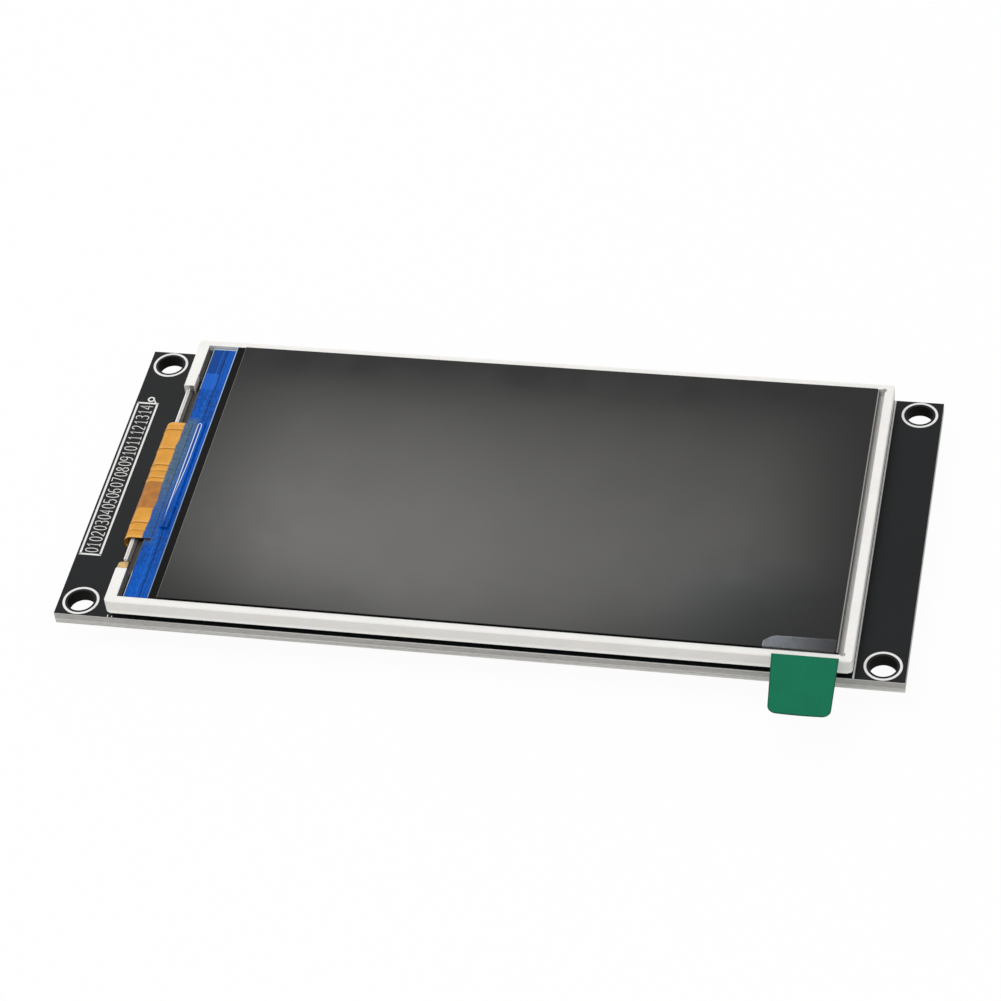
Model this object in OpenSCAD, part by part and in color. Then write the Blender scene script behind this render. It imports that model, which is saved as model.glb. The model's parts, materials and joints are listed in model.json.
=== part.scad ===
// Colour display module: a bare LCD panel with its edge-lit backlight, taped to
// the face of a screw-mounted circuit board.
// +X runs along the board to the plain end, +Y across it, +Z out of the screen.
// The origin is the centre of the four mounting holes, on the board's underside.

/* [Display outline] */
// Length of the moulded backlight frame
frame_l = 87.6; // [70:0.1:106]
// Width of the moulded backlight frame
frame_w = 45.8; // [37:0.1:56]
// Width of the two long rails
rail_w = 0.95; // [0.8:0.05:1.5]
// Width of the rail across the plain end
end_rail_w = 1.1; // [0.8:0.05:1.6]
// Gap between the glass and the end rail
end_gap = 0.6; // [0.2:0.05:1]
// Thickness of the two corner legs at the tail end
leg_w = 1.4; // [1:0.05:1.8]
// Length of the rear corner leg
rear_leg_l = 8.5; // [5:0.1:10]
// Length of the front corner leg
front_leg_l = 5.5; // [4:0.1:8]
// Distance from the frame's tail end to the glass
glass_setback = 2.0; // [1.8:0.05:2.6]
// How far the low sill stands in from the legs
sill_setback = 0.3; // [0.1:0.05:0.4]
// Thickness of the low sill that the tail passes over
sill_w = 0.85; // [0.6:0.05:1]
// Drop from the tail's underside to the top of the sill
sill_drop = 0.3; // [0.05:0.05:0.35]
// Bevel on the frame's outer edges
edge_bevel = 0.12; // [0.05:0.01:0.2]
// How far the foot bead stands out along the two long sides
foot_out = 0.09; // [0.05:0.01:0.1]
// How far the screen stands above the rails
screen_rise = 0.25; // [0.05:0.05:0.35]

/* [Glass stack] */
// Thickness of each glass plate
glass_t = 0.5; // [0.4:0.05:0.7]
// Thickness of each polarizer
polarizer_t = 0.12; // [0.1:0.01:0.2]
// Thickness of the clear protective film
cover_film_t = 0.05; // [0.04:0.01:0.1]
// Width of the bare glass ledge that carries the driver chip
ledge_w = 3.1; // [2.6:0.1:4]
// Width of the black border between the ledge and the polarizer
border_w = 1.15; // [0.6:0.05:1.6]
// How far the polarizers stop short of the glass on the other sides
polarizer_inset = 0.05; // [0.05:0.05:0.5]
// Side clearance between the glass and the rails
glass_clear = 0.1; // [0.05:0.01:0.2]
// Chamfer on the index corner of the glass
index_chamfer = 0.3; // [0.3:0.1:1.2]

/* [Backlight] */
// Thickness of the light guide
guide_t = 0.55; // [0.4:0.05:0.8]
// Thickness of the reflector sheet
reflector_t = 0.08; // [0.05:0.01:0.15]
// Thickness of each optical sheet
sheet_t = 0.05; // [0.04:0.01:0.1]
// Thickness of the black rim tape
rim_tape_t = 0.05; // [0.04:0.01:0.1]
// Shelf that the long rails carry the glass on
shelf_w = 1.0; // [0.6:0.05:1.4]
// Clearance round the light guide, sheets and lamps
guide_clear = 0.05; // [0.02:0.01:0.1]
// Number of lamps
led_count = 6; // [4:1:8]
// Distance between lamps
led_pitch = 5.6; // [4.6:0.1:6]
// Length of one lamp
led_l = 3.0; // [2:0.1:3.6]
// Depth of one lamp, towards the light guide
led_d = 0.95; // [0.7:0.05:1]

/* [Driver chip and tail] */
// Length of the driver chip
chip_l = 17.9; // [12:0.1:20]
// Width of the driver chip
chip_w = 0.75; // [0.6:0.05:1.2]
// Thickness of the driver chip
chip_t = 0.3; // [0.2:0.05:0.4]
// Distance from the chip to the upper glass plate
chip_gap = 0.8; // [0.5:0.05:1]
// Middle of the chip, measured from the module's centre line
chip_y = -0.95; // [-2:0.05:2]
// Thickness of the blue sealing coat
coat_t = 0.06; // [0.04:0.01:0.1]
// Thickness of the flexible tail
tail_t = 0.12; // [0.08:0.01:0.2]
// Gap between the rear leg and the tail
tail_rear_gap = 6.4; // [3:0.1:8]
// Gap between the front leg and the tail
tail_front_gap = 5.0; // [4:0.1:6]
// How far the tail bulges past the frame's end
tail_bulge = 0.7; // [0.4:0.05:1.2]
// Overlap of the tail on the glass ledge
tail_bond = 0.8; // [0.5:0.05:1]
// Length of the tail's flat run under the display
tail_run = 9; // [6:0.5:14]
// Pitch of the solder lands under the tail
land_pitch = 0.8; // [0.5:0.1:1.2]
// Width of one solder land
land_w = 0.45; // [0.3:0.05:0.6]
// Length of one solder land
land_l = 2.4; // [1.5:0.1:4]
// Thickness of the tinned copper lands
land_t = 0.04; // [0.03:0.01:0.06]
// Width of the lamp strip's own tail
lamp_tail_w = 1.6; // [1:0.1:2]

/* [Pull tab] */
// Width of the tab where it leaves the module
tab_root_w = 7.6; // [5:0.1:12]
// Width of the tab at its free end
tab_tip_w = 7.0; // [4:0.1:12]
// Free length of the tab
tab_l = 8.4; // [5:0.1:14]
// Corner radius at the free end
tab_r = 1.0; // [0.5:0.1:2]
// Thickness of the green paddle
tab_t = 0.1; // [0.06:0.01:0.2]
// Thickness of the clear carrier strip
strip_t = 0.05; // [0.03:0.01:0.08]
// How far the strip reaches in over the screen
strip_reach = 1.8; // [1:0.1:4]
// Distance from the frame's plain end to the tab
tab_inset = 1.5; // [0.8:0.05:4]
// Droop of the free part
tab_droop = 4; // [0:0.5:8]

/* [Board] */
// Thickness of the board
board_t = 1.6; // [1:0.1:2]
// Board beyond the display at the tail end
tail_margin = 6.5; // [5:0.1:9]
// Board beyond the display at the plain end
plain_margin = 5.9; // [5:0.1:9]
// Board beyond each long rail
side_margin = 0.1; // [0:0.05:2]
// Diameter of the mounting holes
hole_d = 3.2; // [2.2:0.1:3.9]
// Distance from a hole's centre to the end edge
hole_in_x = 2.7; // [2.2:0.05:3.2]
// Distance from a hole's centre to the long edge
hole_in_y = 2.3; // [2.2:0.05:4]
// Thickness of the foam tape under the display
tape_t = 0.8; // [0.4:0.05:1.2]
// Width of each tape strip
tape_w = 3.5; // [2:0.1:5]
// How far the tape stays in from the rails' outer faces
tape_inset = 0.5; // [0.3:0.05:1]

/* [Underside parts] */
// Number of contacts in the ribbon socket
contact_count = 14; // [8:1:20]
// Pitch of the ribbon socket's contacts
contact_pitch = 1.0; // [0.8:0.1:1.2]
// Height of the ribbon socket
socket_h = 2.5; // [2:0.1:3]
// Depth of the ribbon socket
socket_d = 5.2; // [4:0.1:6]
// Opening of the ribbon slot
slot_h = 0.45; // [0.3:0.05:0.6]
// Distance from the socket's mouth to the end edge
socket_inset = 0.4; // [0.2:0.1:1]
// Height of the regulator above the board
regulator_h = 1.5; // [1:0.1:1.8]
// Number of resistors in the row
resistor_count = 6; // [2:1:8]
// Number of capacitors in the row
capacitor_count = 4; // [2:1:6]

/* [Hidden] */
$fn = 48;
// gap that keeps neighbours from touching where they are only placed side by side
nip = 0.02;

// --- display stack, heights above the board's underside ---
z_frame = board_t + tape_t;
z_guide = z_frame + reflector_t;
z_sheets = z_guide + guide_t;
z_rim_tape = z_sheets + 3 * sheet_t;
z_rear_pol = z_rim_tape + rim_tape_t;
z_tft = z_rear_pol + polarizer_t;
z_ledge = z_tft + glass_t;
z_front_pol = z_ledge + glass_t;
z_film = z_front_pol + polarizer_t;
z_top = z_film + cover_film_t;
z_rail = z_top - screen_rise;
frame_t = z_rail - z_frame;

// --- board ---
board_l = tail_margin + frame_l + plain_margin;
board_w = frame_w + 2 * side_margin;
hole_x = board_l / 2 - hole_in_x;
hole_y = board_w / 2 - hole_in_y;

// --- frame ---
outer_r = 0.5;
// foot bead: upright part below its sloping top
foot_h = 0.12;
foot_z1 = z_frame + foot_h;
foot_z2 = foot_z1 + foot_out;
// groove along the top of the sill
groove_w = 0.2;
groove_d = 0.1;
groove_in = 0.3;
relief_r = 0.3;
leg_step = 0.25;
leg_step_drop = 0.3;
fx0 = tail_margin - board_l / 2;
fx1 = fx0 + frame_l;
fy = frame_w / 2;
pocket_y = fy - rail_w;
pocket_x1 = fx1 - end_rail_w;
leg_x = fx0 + leg_w;
rear_leg_y = fy - rear_leg_l;
front_leg_y = front_leg_l - fy;
sill_x0 = fx0 + sill_setback;
sill_x1 = sill_x0 + sill_w;
sill_top = z_ledge - sill_drop;

// --- mounting tape ---
tape_x0 = fx0 + 5;
tape_x1 = fx1 - 2;

// --- glass ---
glass_x0 = fx0 + glass_setback;
glass_x1 = pocket_x1 - end_gap;
glass_y = pocket_y - glass_clear;
filter_x0 = glass_x0 + ledge_w;
screen_x0 = filter_x0 + border_w;
screen_x1 = glass_x1 - polarizer_inset;
screen_y = glass_y - polarizer_inset;

// --- backlight ---
guide_y = pocket_y - shelf_w - guide_clear;
lamp_setback = 0.7;
lamp_x0 = sill_x1 + lamp_setback;
guide_x0 = lamp_x0 + led_d + guide_clear;
guide_end_gap = 0.5;
guide_x1 = glass_x1 - guide_end_gap;
strip_lap = 0.6;
sheet_x0 = guide_x0 + strip_lap + guide_clear;
ear_l = 2.4;
ear_d = 0.5;
ear_x = frame_l * 0.3;
window_lap = 1.1;
rim_x0 = leg_x + leg_step + 0.05;
window_x0 = filter_x0 + 0.8;
rear_pol_x0 = filter_x0 + 0.2;
reflector_lap = 0.7;
reflector_x0 = lamp_x0 - 0.3;
reflector_x1 = guide_x1 + reflector_lap;

// --- lamp strip ---
lamp_strip_t = 3 * sheet_t;
strip_overhang = 0.45;
strip_end = 1;
strip_x0 = lamp_x0 - strip_overhang;
strip_x1 = guide_x0 + strip_lap;
strip_rear_y = (led_count - 1) * led_pitch / 2 + led_l / 2 + strip_end;
lamp_tail_clear = 0.1;
lamp_tail_y = front_leg_y + 4 * lamp_tail_clear + lamp_tail_w / 2;
strip_front_y = min(-strip_rear_y, lamp_tail_y - lamp_tail_w / 2);

// --- flexible tails, folded round the frame's end onto the board ---
land_top = board_t + land_t;
tail_y1 = rear_leg_y - tail_rear_gap;
tail_y0 = front_leg_y + tail_front_gap;
tail_top = z_ledge + tail_t;
tail_r = (tail_top - land_top) / 2;
tail_xc = fx0 - tail_bulge + tail_r;
tail_x1 = glass_x0 + tail_bond;
tail_low_x1 = fx0 + tail_run;
lamp_tail_run = 2.4;
lamp_land_l = 1.2;
lamp_land_w = 0.5;
lamp_tail_xc = sill_x0 - lamp_tail_clear;
lamp_tail_low_x1 = fx0 + lamp_tail_run;

// --- driver chip and coat ---
chip_x1 = filter_x0 - chip_gap;
chip_x0 = chip_x1 - chip_w;
coat_x0 = glass_x0 + 0.1;
coat_y = glass_y - 0.25;
hump_side = 0.25;
hump_top = 0.06;
hump_t = chip_t + 0.05;

// --- pull tab ---
tab_x1 = fx1 - tab_inset;
tab_root_y = -fy;
lap_l = 2.5;
strip_corner_r = 1;
strip_side_gap = 0.3;

// --- ribbon socket on the underside ---
socket_x0 = socket_inset - board_l / 2;
socket_x1 = socket_x0 + socket_d;
slot_w = (contact_count + 1) * contact_pitch;
end_wall = 1.8;
socket_l = slot_w + 2 * end_wall;
slot_z = socket_h * 0.52;
slot_low = slot_z - slot_h / 2;
slot_high = slot_z + slot_h / 2;
back_wall = 1.2;
flare = 0.4;
flare_d = 0.3;
recess_t = 0.2;
blade_t = 0.25;
blade_x0 = socket_x0 + 1.1;
arm_t = 0.2;
upper_arm_t = 0.3;
foot_t = 0.2;
tail_foot = 0.8;
anchor_t = 0.2;
anchor_l = 1.8;
anchor_x0 = socket_x0 + 1.6;
anchor_top = socket_h * 0.6;
anchor_foot = 0.9;

// --- small parts on the underside ---
resistor_l = 1.6;
resistor_w = 0.8;
resistor_h = 0.45;
resistor_pitch = 2.2;
resistor_x = socket_x1 + 4.2;
capacitor_l = 2.0;
capacitor_w = 1.25;
capacitor_h = 0.85;
capacitor_pitch = 2.9;
capacitor_x = socket_x1 + 9.5;
capacitor_y = 6.5;
terminal_l = 0.35;
fillet_l = 0.2;
regulator_x = socket_x1 + 16;
regulator_y = 9.5;
regulator_l = 4.5;
regulator_w = 2.5;
regulator_pitch = 1.5;
regulator_leg_w = 0.44;
regulator_leg_t = 0.4;
transistor_x = socket_x1 + 9.5;
transistor_y = -9.0;
transistor_l = 2.9;
transistor_w = 1.3;
transistor_h = 1.0;
transistor_pitch = 0.95;
transistor_gap = 0.08;
transistor_lead_w = 0.4;
lead_t = 0.15;

// ---------- shared shapes ----------

// Rectangle with round corners, given by its limits
module soft_rect(x0, x1, y0, y1, r) {
    translate([x0 + r, y0]) square([x1 - x0 - 2 * r, y1 - y0]);
    translate([x0, y0 + r]) square([x1 - x0, y1 - y0 - 2 * r]);
    for (x = [x0 + r, x1 - r], y = [y0 + r, y1 - r]) translate([x, y]) circle(r);
}

// Box given by its limits
module block(x0, x1, y0, y1, z0, z1) {
    translate([x0, y0, z0]) cube([x1 - x0, y1 - y0, z1 - z0]);
}

// Plate from z0, t thick, on a plan outline
module plate(z0, t) {
    translate([0, 0, z0]) linear_extrude(t) children();
}

// Solid from y0 to y1 on an outline drawn in X and Z
module along_y(y0, y1) {
    translate([0, y1, 0]) rotate([90, 0, 0]) linear_extrude(y1 - y0) children();
}

// Solid from x0 to x1 on an outline drawn in Y and Z
module along_x(x0, x1) {
    translate([x0, 0, 0]) rotate([90, 0, 90]) linear_extrude(x1 - x0) children();
}

// Points of an arc about a centre
function arc(cx, cy, r, a0, a1, n) =
    [for (i = [0:n]) let (a = a0 + (a1 - a0) * i / n) [cx + r * cos(a), cy + r * sin(a)]];

// Flat strip folded back under itself: a half ring with two straight runs
function folded(top, low, t, xc, x_top, x_low) =
    let (r = (top - low) / 2, zc = (top + low) / 2)
    concat([[x_top, top]], arc(xc, zc, r, 90, 270, 24), [[x_low, low], [x_low, low + t]],
           arc(xc, zc, r - t, 270, 90, 24), [[x_top, top - t]]);

// Outline of a glass plate or film with its index corner cut
module glass_outline(x0, x1, y, c) {
    polygon([[x0, -y], [x1, -y], [x1, y - c], [x1 - c, y], [x0, y]]);
}

// 45 degree cutter for an edge that runs along X
module edge_x(y, z) {
    translate([(fx0 + fx1) / 2, y, z]) rotate([45, 0, 0])
        cube([frame_l + 4, edge_bevel * sqrt(2), edge_bevel * sqrt(2)], center = true);
}

// 45 degree cutter for an edge that runs along Y
module edge_y(x, z) {
    translate([x, 0, z]) rotate([0, 45, 0])
        cube([edge_bevel * sqrt(2), frame_w + 4, edge_bevel * sqrt(2)], center = true);
}

// Puts what is drawn standing on the board's face on its underside instead
module under() {
    mirror([0, 0, 1]) children();
}

// ---------- board and tape ----------

module circuit_board() {
    color([0.13, 0.14, 0.15])
    difference() {
        plate(0, board_t) square([board_l, board_w], center = true);
        for (x = [-hole_x, hole_x], y = [-hole_y, hole_y])
            translate([x, y, -1]) cylinder(d = hole_d, h = board_t + 2);
    }
}

module mounting_tape() {
    color([0.06, 0.06, 0.06])
    for (side = [-1, 1])
        plate(board_t, tape_t)
            translate([tape_x0, side * (fy - tape_inset - tape_w / 2) - tape_w / 2])
                square([tape_x1 - tape_x0, tape_w]);
}

// ---------- backlight ----------

// Plan of the light guide: a plate with two ears on each long edge
module guide_outline(grow) {
    translate([guide_x0 - grow, -guide_y - grow])
        square([guide_x1 - guide_x0 + 2 * grow, 2 * (guide_y + grow)]);
    for (x = [-ear_x, ear_x], side = [-1, 1])
        translate([x + (fx0 + fx1) / 2 - ear_l / 2 - grow, side * (guide_y + grow) - ear_d])
            square([ear_l + 2 * grow, 2 * ear_d]);
}

// Plan of one optical sheet: it starts beside the lamp strip and has one ear on each long edge
module sheet_outline(grow) {
    translate([sheet_x0 - grow, -guide_y - grow])
        square([guide_x1 - sheet_x0 + 2 * grow, 2 * (guide_y + grow)]);
    for (side = [-1, 1])
        translate([(fx0 + fx1) / 2 - ear_l / 2 - grow, side * (guide_y + grow) - ear_d])
            square([ear_l + 2 * grow, 2 * ear_d]);
}

// Plan of the lamp strip with its own narrow tail's root
module strip_outline(grow) {
    translate([strip_x0 - grow, strip_front_y - grow])
        square([strip_x1 - strip_x0 + 2 * grow, strip_rear_y - strip_front_y + 2 * grow]);
}

// Every lamp's place, as a plan square
module lamp_plan(grow) {
    for (i = [0:led_count - 1])
        translate([lamp_x0 - grow, (i - (led_count - 1) / 2) * led_pitch - led_l / 2 - grow])
            square([led_d + 2 * grow, led_l + 2 * grow]);
}

// Moulded frame: rails, legs and sill round a stepped pocket, with a comb of
// fingers between the lamps and notches for the ears
module backlight_frame() {
    color([0.92, 0.91, 0.89])
    difference() {
        union() {
            plate(z_frame, frame_t) soft_rect(fx0, fx1, -fy, fy, outer_r);
            // foot bead along both long sides
            along_x(fx0 + outer_r, fx1 - outer_r)
                polygon([[-fy, foot_z2], [-fy - foot_out, foot_z1], [-fy - foot_out, z_frame],
                         [fy + foot_out, z_frame], [fy + foot_out, foot_z1], [fy, foot_z2]]);
        }
        // glass pocket above the shelf, with relieved corners
        plate(z_rim_tape, frame_t) {
            translate([leg_x + leg_step, -pocket_y])
                square([pocket_x1 - leg_x - leg_step, 2 * pocket_y]);
            for (side = [-1, 1])
                translate([pocket_x1 - relief_r / 3, side * (pocket_y - relief_r / 3)]) circle(relief_r);
        }
        // step inside the two legs
        plate(z_ledge - leg_step_drop, frame_t)
            translate([leg_x, -pocket_y]) square([2 * leg_step, 2 * pocket_y]);
        // open end between the legs, above the sill and beside it
        plate(sill_top, frame_t)
            translate([fx0 - 1, front_leg_y]) square([glass_setback + 1, rear_leg_y - front_leg_y]);
        plate(z_rim_tape, frame_t)
            translate([sill_x1, front_leg_y]) square([glass_setback, rear_leg_y - front_leg_y]);
        plate(z_frame - 1, frame_t + 2)
            translate([fx0 - 1, front_leg_y]) square([1 + sill_setback, rear_leg_y - front_leg_y]);
        // groove along the sill
        plate(sill_top - groove_d, frame_t)
            translate([sill_x0 + groove_in, front_leg_y + groove_in])
                square([groove_w, rear_leg_y - front_leg_y - 2 * groove_in]);
        // gap for the lamp strip's tail
        plate(z_sheets, frame_t)
            translate([fx0 - 1, lamp_tail_y - lamp_tail_w / 2 - lamp_tail_clear])
                square([glass_setback + 1, lamp_tail_w + 2 * lamp_tail_clear]);
        // light guide, sheets, lamp strip and lamps
        plate(z_frame - 1, frame_t) guide_outline(guide_clear);
        plate(z_sheets, frame_t) sheet_outline(guide_clear);
        plate(z_sheets, frame_t) strip_outline(guide_clear);
        plate(z_frame - 1, frame_t) lamp_plan(guide_clear);
        // recess for the reflector sheet
        plate(z_frame - 1, 1 + reflector_t) reflector_outline(guide_clear);
        // bevels
        for (side = [-1, 1]) edge_x(side * fy, z_rail);
        for (x = [fx0, fx1], z = [z_frame, z_rail]) edge_y(x, z);
    }
}

// Plan of the reflector sheet
module reflector_outline(grow) {
    translate([reflector_x0 - grow, -guide_y - reflector_lap - grow])
        square([reflector_x1 - reflector_x0 + 2 * grow, 2 * (guide_y + reflector_lap + grow)]);
}

module reflector_sheet() {
    color([0.95, 0.95, 0.95]) plate(z_frame, reflector_t) reflector_outline(0);
}

module light_guide() {
    color([0.85, 0.9, 0.92]) plate(z_guide, guide_t) guide_outline(0);
}

module diffuser_sheet() {
    color([0.9, 0.9, 0.9]) plate(z_sheets, sheet_t) sheet_outline(0);
}

module lower_prism_sheet() {
    color([0.82, 0.85, 0.88]) plate(z_sheets + sheet_t, sheet_t) sheet_outline(0);
}

module upper_prism_sheet() {
    color([0.78, 0.82, 0.86]) plate(z_sheets + 2 * sheet_t, sheet_t) sheet_outline(0);
}

module lamp_strip() {
    color([0.85, 0.6, 0.2])
    union() {
        plate(z_sheets, lamp_strip_t) strip_outline(0);
        along_y(lamp_tail_y - lamp_tail_w / 2, lamp_tail_y + lamp_tail_w / 2)
            polygon(folded(z_rim_tape, land_top, lamp_strip_t, lamp_tail_xc, strip_x0 + 0.5,
                           lamp_tail_low_x1));
    }
}

module backlight_lamps() {
    color([0.95, 0.9, 0.6]) plate(z_guide, guide_t) lamp_plan(0);
}

module rim_tape() {
    color([0.05, 0.05, 0.05])
    plate(z_rim_tape, rim_tape_t)
        difference() {
            union() {
                translate([rim_x0, -glass_y]) square([glass_x1 - rim_x0, 2 * glass_y]);
                translate([sill_x1 + glass_clear, front_leg_y + glass_clear])
                    square([glass_setback, rear_leg_y - front_leg_y - 2 * glass_clear]);
            }
            translate([window_x0, window_lap - screen_y])
                square([screen_x1 - window_lap - window_x0, 2 * (screen_y - window_lap)]);
        }
}

// ---------- glass ----------

module rear_polarizer() {
    color([0.2, 0.2, 0.22])
        plate(z_rear_pol, polarizer_t) glass_outline(rear_pol_x0, screen_x1, screen_y, index_chamfer);
}

module tft_glass() {
    color([0.45, 0.55, 0.55])
        plate(z_tft, glass_t) glass_outline(glass_x0, glass_x1, glass_y, index_chamfer);
}

module colour_filter_glass() {
    color([0.08, 0.08, 0.09])
        plate(z_ledge, glass_t) glass_outline(filter_x0, glass_x1, glass_y, index_chamfer);
}

module front_polarizer() {
    color([0.22, 0.22, 0.22])
        plate(z_front_pol, polarizer_t) glass_outline(screen_x0, screen_x1, screen_y, index_chamfer);
}

module protective_film() {
    color([0.35, 0.36, 0.36])
        plate(z_film, cover_film_t) glass_outline(screen_x0, screen_x1, screen_y, index_chamfer);
}

// ---------- driver chip, coat and tail ----------

module driver_chip() {
    color([0.3, 0.32, 0.35])
        block(chip_x0, chip_x1, chip_y - chip_l / 2, chip_y + chip_l / 2, z_ledge, z_ledge + chip_t);
}

// Sealing coat: a thin layer over the ledge with a ridge over the chip
module ledge_coat() {
    color([0.06, 0.3, 0.7])
    difference() {
        union() {
            plate(z_ledge, coat_t)
                translate([coat_x0, -coat_y]) square([filter_x0 - nip - coat_x0, 2 * coat_y]);
            along_y(chip_y - chip_l / 2 - hump_side, chip_y + chip_l / 2 + hump_side)
                polygon([
                    [chip_x0 - hump_side, z_ledge], [chip_x1 + hump_side, z_ledge],
                    [chip_x1 + hump_side, z_ledge + coat_t], [chip_x1 + hump_top, z_ledge + hump_t],
                    [chip_x0 - hump_top, z_ledge + hump_t], [chip_x0 - hump_side, z_ledge + coat_t]
                ]);
        }
        block(chip_x0, chip_x1, chip_y - chip_l / 2, chip_y + chip_l / 2, z_ledge - 1, z_ledge + chip_t);
        block(coat_x0 - 1, tail_x1 + nip, tail_y0 - nip, tail_y1 + nip, z_ledge - 1, z_top);
    }
}

module display_tail() {
    color([0.88, 0.62, 0.2])
    along_y(tail_y0, tail_y1)
        polygon(folded(tail_top, land_top, tail_t, tail_xc, tail_x1, tail_low_x1));
}

// Tinned lands on the board under the ends of both tails
module tail_lands() {
    land_count = floor((tail_y1 - tail_y0 - 1) / land_pitch) + 1;
    first = (tail_y0 + tail_y1 - (land_count - 1) * land_pitch) / 2;
    color([0.75, 0.75, 0.74]) {
        for (i = [0:land_count - 1])
            plate(board_t, land_t)
                translate([tail_low_x1 - land_l, first + i * land_pitch - land_w / 2])
                    square([land_l, land_w]);
        for (side = [-1, 1])
            plate(board_t, land_t)
                translate([lamp_tail_low_x1 - lamp_land_l,
                           lamp_tail_y + side * lamp_tail_w / 4 - lamp_land_w / 2])
                    square([lamp_land_l, lamp_land_w]);
    }
}

// ---------- pull tab ----------

// Plan of the tab's free part: it narrows a little and has round free corners
module tab_outline(l) {
    tip_x0 = tab_x1 - tab_tip_w;
    tip_y = tab_root_y - l;
    polygon(concat(
        [[tab_x1, tab_root_y + lap_l], [tab_x1 - tab_root_w, tab_root_y + lap_l],
         [tab_x1 - tab_root_w, tab_root_y]],
        arc(tip_x0 + tab_r, tip_y + tab_r, tab_r, 180, 270, 10),
        arc(tab_x1 - tab_r, tip_y + tab_r, tab_r, 270, 360, 10)));
}

// Side view of a strip that runs level past the rail and droops beyond it
function drooped(z0, t, y_in, y_out) =
    let (s = tan(tab_droop), run = tab_root_y - y_out)
    [[y_in, z0], [y_in, z0 + t], [tab_root_y, z0 + t], [y_out, z0 + t - s * run],
     [y_out, z0 - s * run], [tab_root_y, z0]];

module tab_strip() {
    color([0.8, 0.82, 0.85])
    intersection() {
        along_x(tab_x1 - tab_root_w - 1, tab_x1 + 1)
            polygon(drooped(z_top, strip_t, strip_reach - screen_y, tab_root_y - lap_l));
        plate(z_top - 2, 3)
            difference() {
                translate([tab_x1 - tab_root_w, tab_root_y - lap_l])
                    square([tab_root_w - strip_side_gap, lap_l + fy - screen_y + strip_reach]);
                // round corner over the screen
                translate([tab_x1 - tab_root_w, strip_reach - screen_y])
                    difference() {
                        translate([-1, -strip_corner_r]) square([strip_corner_r + 1, strip_corner_r + 1]);
                        translate([strip_corner_r, -strip_corner_r]) circle(strip_corner_r);
                    }
            }
    }
}

module pull_tab() {
    color([0.11, 0.47, 0.34])
    intersection() {
        along_x(tab_x1 - tab_root_w - 1, tab_x1 + 1)
            polygon(drooped(z_top + strip_t, tab_t, tab_root_y, tab_root_y - tab_l));
        plate(z_top - 3, 4) tab_outline(tab_l);
    }
}

// ---------- ribbon socket ----------

// Housing: a flat box with a flared mouth, a slit for each contact, polarising
// pockets in its back and a bevelled front
module ribbon_socket() {
    color([0.9, 0.88, 0.82])
    under() difference() {
        along_y(-socket_l / 2, socket_l / 2)
            polygon([
                [socket_x0, 0.1], [socket_x0 + 0.1, 0], [socket_x1, 0], [socket_x1, socket_h - 0.5],
                [socket_x1 - 0.5, socket_h], [socket_x0 + flare_d, socket_h],
                [socket_x0, socket_h - flare_d]
            ]);
        // slot with a flared mouth
        block(socket_x0 - 1, socket_x1 - back_wall, -slot_w / 2, slot_w / 2, slot_low, slot_high);
        along_y(-slot_w / 2, slot_w / 2)
            polygon([
                [socket_x0 - 0.1, slot_low - flare], [socket_x0 + flare_d, slot_low],
                [socket_x0 + flare_d, slot_high], [socket_x0 - 0.1, slot_high + flare]
            ]);
        // slit for each contact
        for (i = [0:contact_count - 1])
            block(blade_x0 - nip, socket_x1 + 1, contact_y(i) - blade_t / 2 - nip,
                  contact_y(i) + blade_t / 2 + nip, -1, slot_high + upper_arm_t + nip);
        // seats of the two anchors
        for (side = [-1, 1])
            block(anchor_x0 - nip, anchor_x0 + anchor_l + nip,
                  side * (socket_l / 2 + 1) - 1 - anchor_t, side * (socket_l / 2 + 1) + 1 + anchor_t,
                  -1, anchor_top);
        // moulding recesses
        for (side = [-1, 1])
            block(socket_x0 + 1.5, socket_x1 - back_wall, side * slot_w / 4 - slot_w / 6,
                  side * slot_w / 4 + slot_w / 6, socket_h - recess_t, socket_h + 1);
    }
}

// Place of one contact along the socket
function contact_y(i) = (i - (contact_count - 1) / 2) * contact_pitch;

// One contact: a fork in the slot, a back post and a solder foot
module socket_contacts() {
    color([0.8, 0.7, 0.45])
    under() for (i = [0:contact_count - 1])
        along_y(contact_y(i) - blade_t / 2, contact_y(i) + blade_t / 2)
            polygon([
                [blade_x0, slot_low - arm_t], [blade_x0 + 0.3, slot_low], [socket_x1 - 0.9, slot_low],
                [socket_x1 - 0.9, slot_high], [blade_x0 + 0.8, slot_high + 0.05],
                [blade_x0 + 0.5, slot_high - 0.08], [blade_x0 + 0.2, slot_high + 0.1],
                [blade_x0 + 0.2, slot_high + upper_arm_t], [socket_x1 - 0.5, slot_high + upper_arm_t],
                [socket_x1 - 0.5, foot_t], [socket_x1 + tail_foot, foot_t], [socket_x1 + tail_foot, 0],
                [socket_x1 - 0.8, 0], [socket_x1 - 0.8, slot_low - arm_t]
            ]);
}

// Two solder anchors: a plate in the housing's end with a foot on the board
module socket_anchors() {
    color([0.72, 0.72, 0.72])
    under() for (side = [-1, 1])
        along_x(anchor_x0, anchor_x0 + anchor_l)
            polygon([
                [side * (socket_l / 2 - anchor_t), 0], [side * (socket_l / 2 - anchor_t), anchor_top],
                [side * socket_l / 2, anchor_top], [side * socket_l / 2, anchor_t],
                [side * (socket_l / 2 + anchor_foot), anchor_t], [side * (socket_l / 2 + anchor_foot), 0]
            ]);
}

// ---------- small parts ----------

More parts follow.
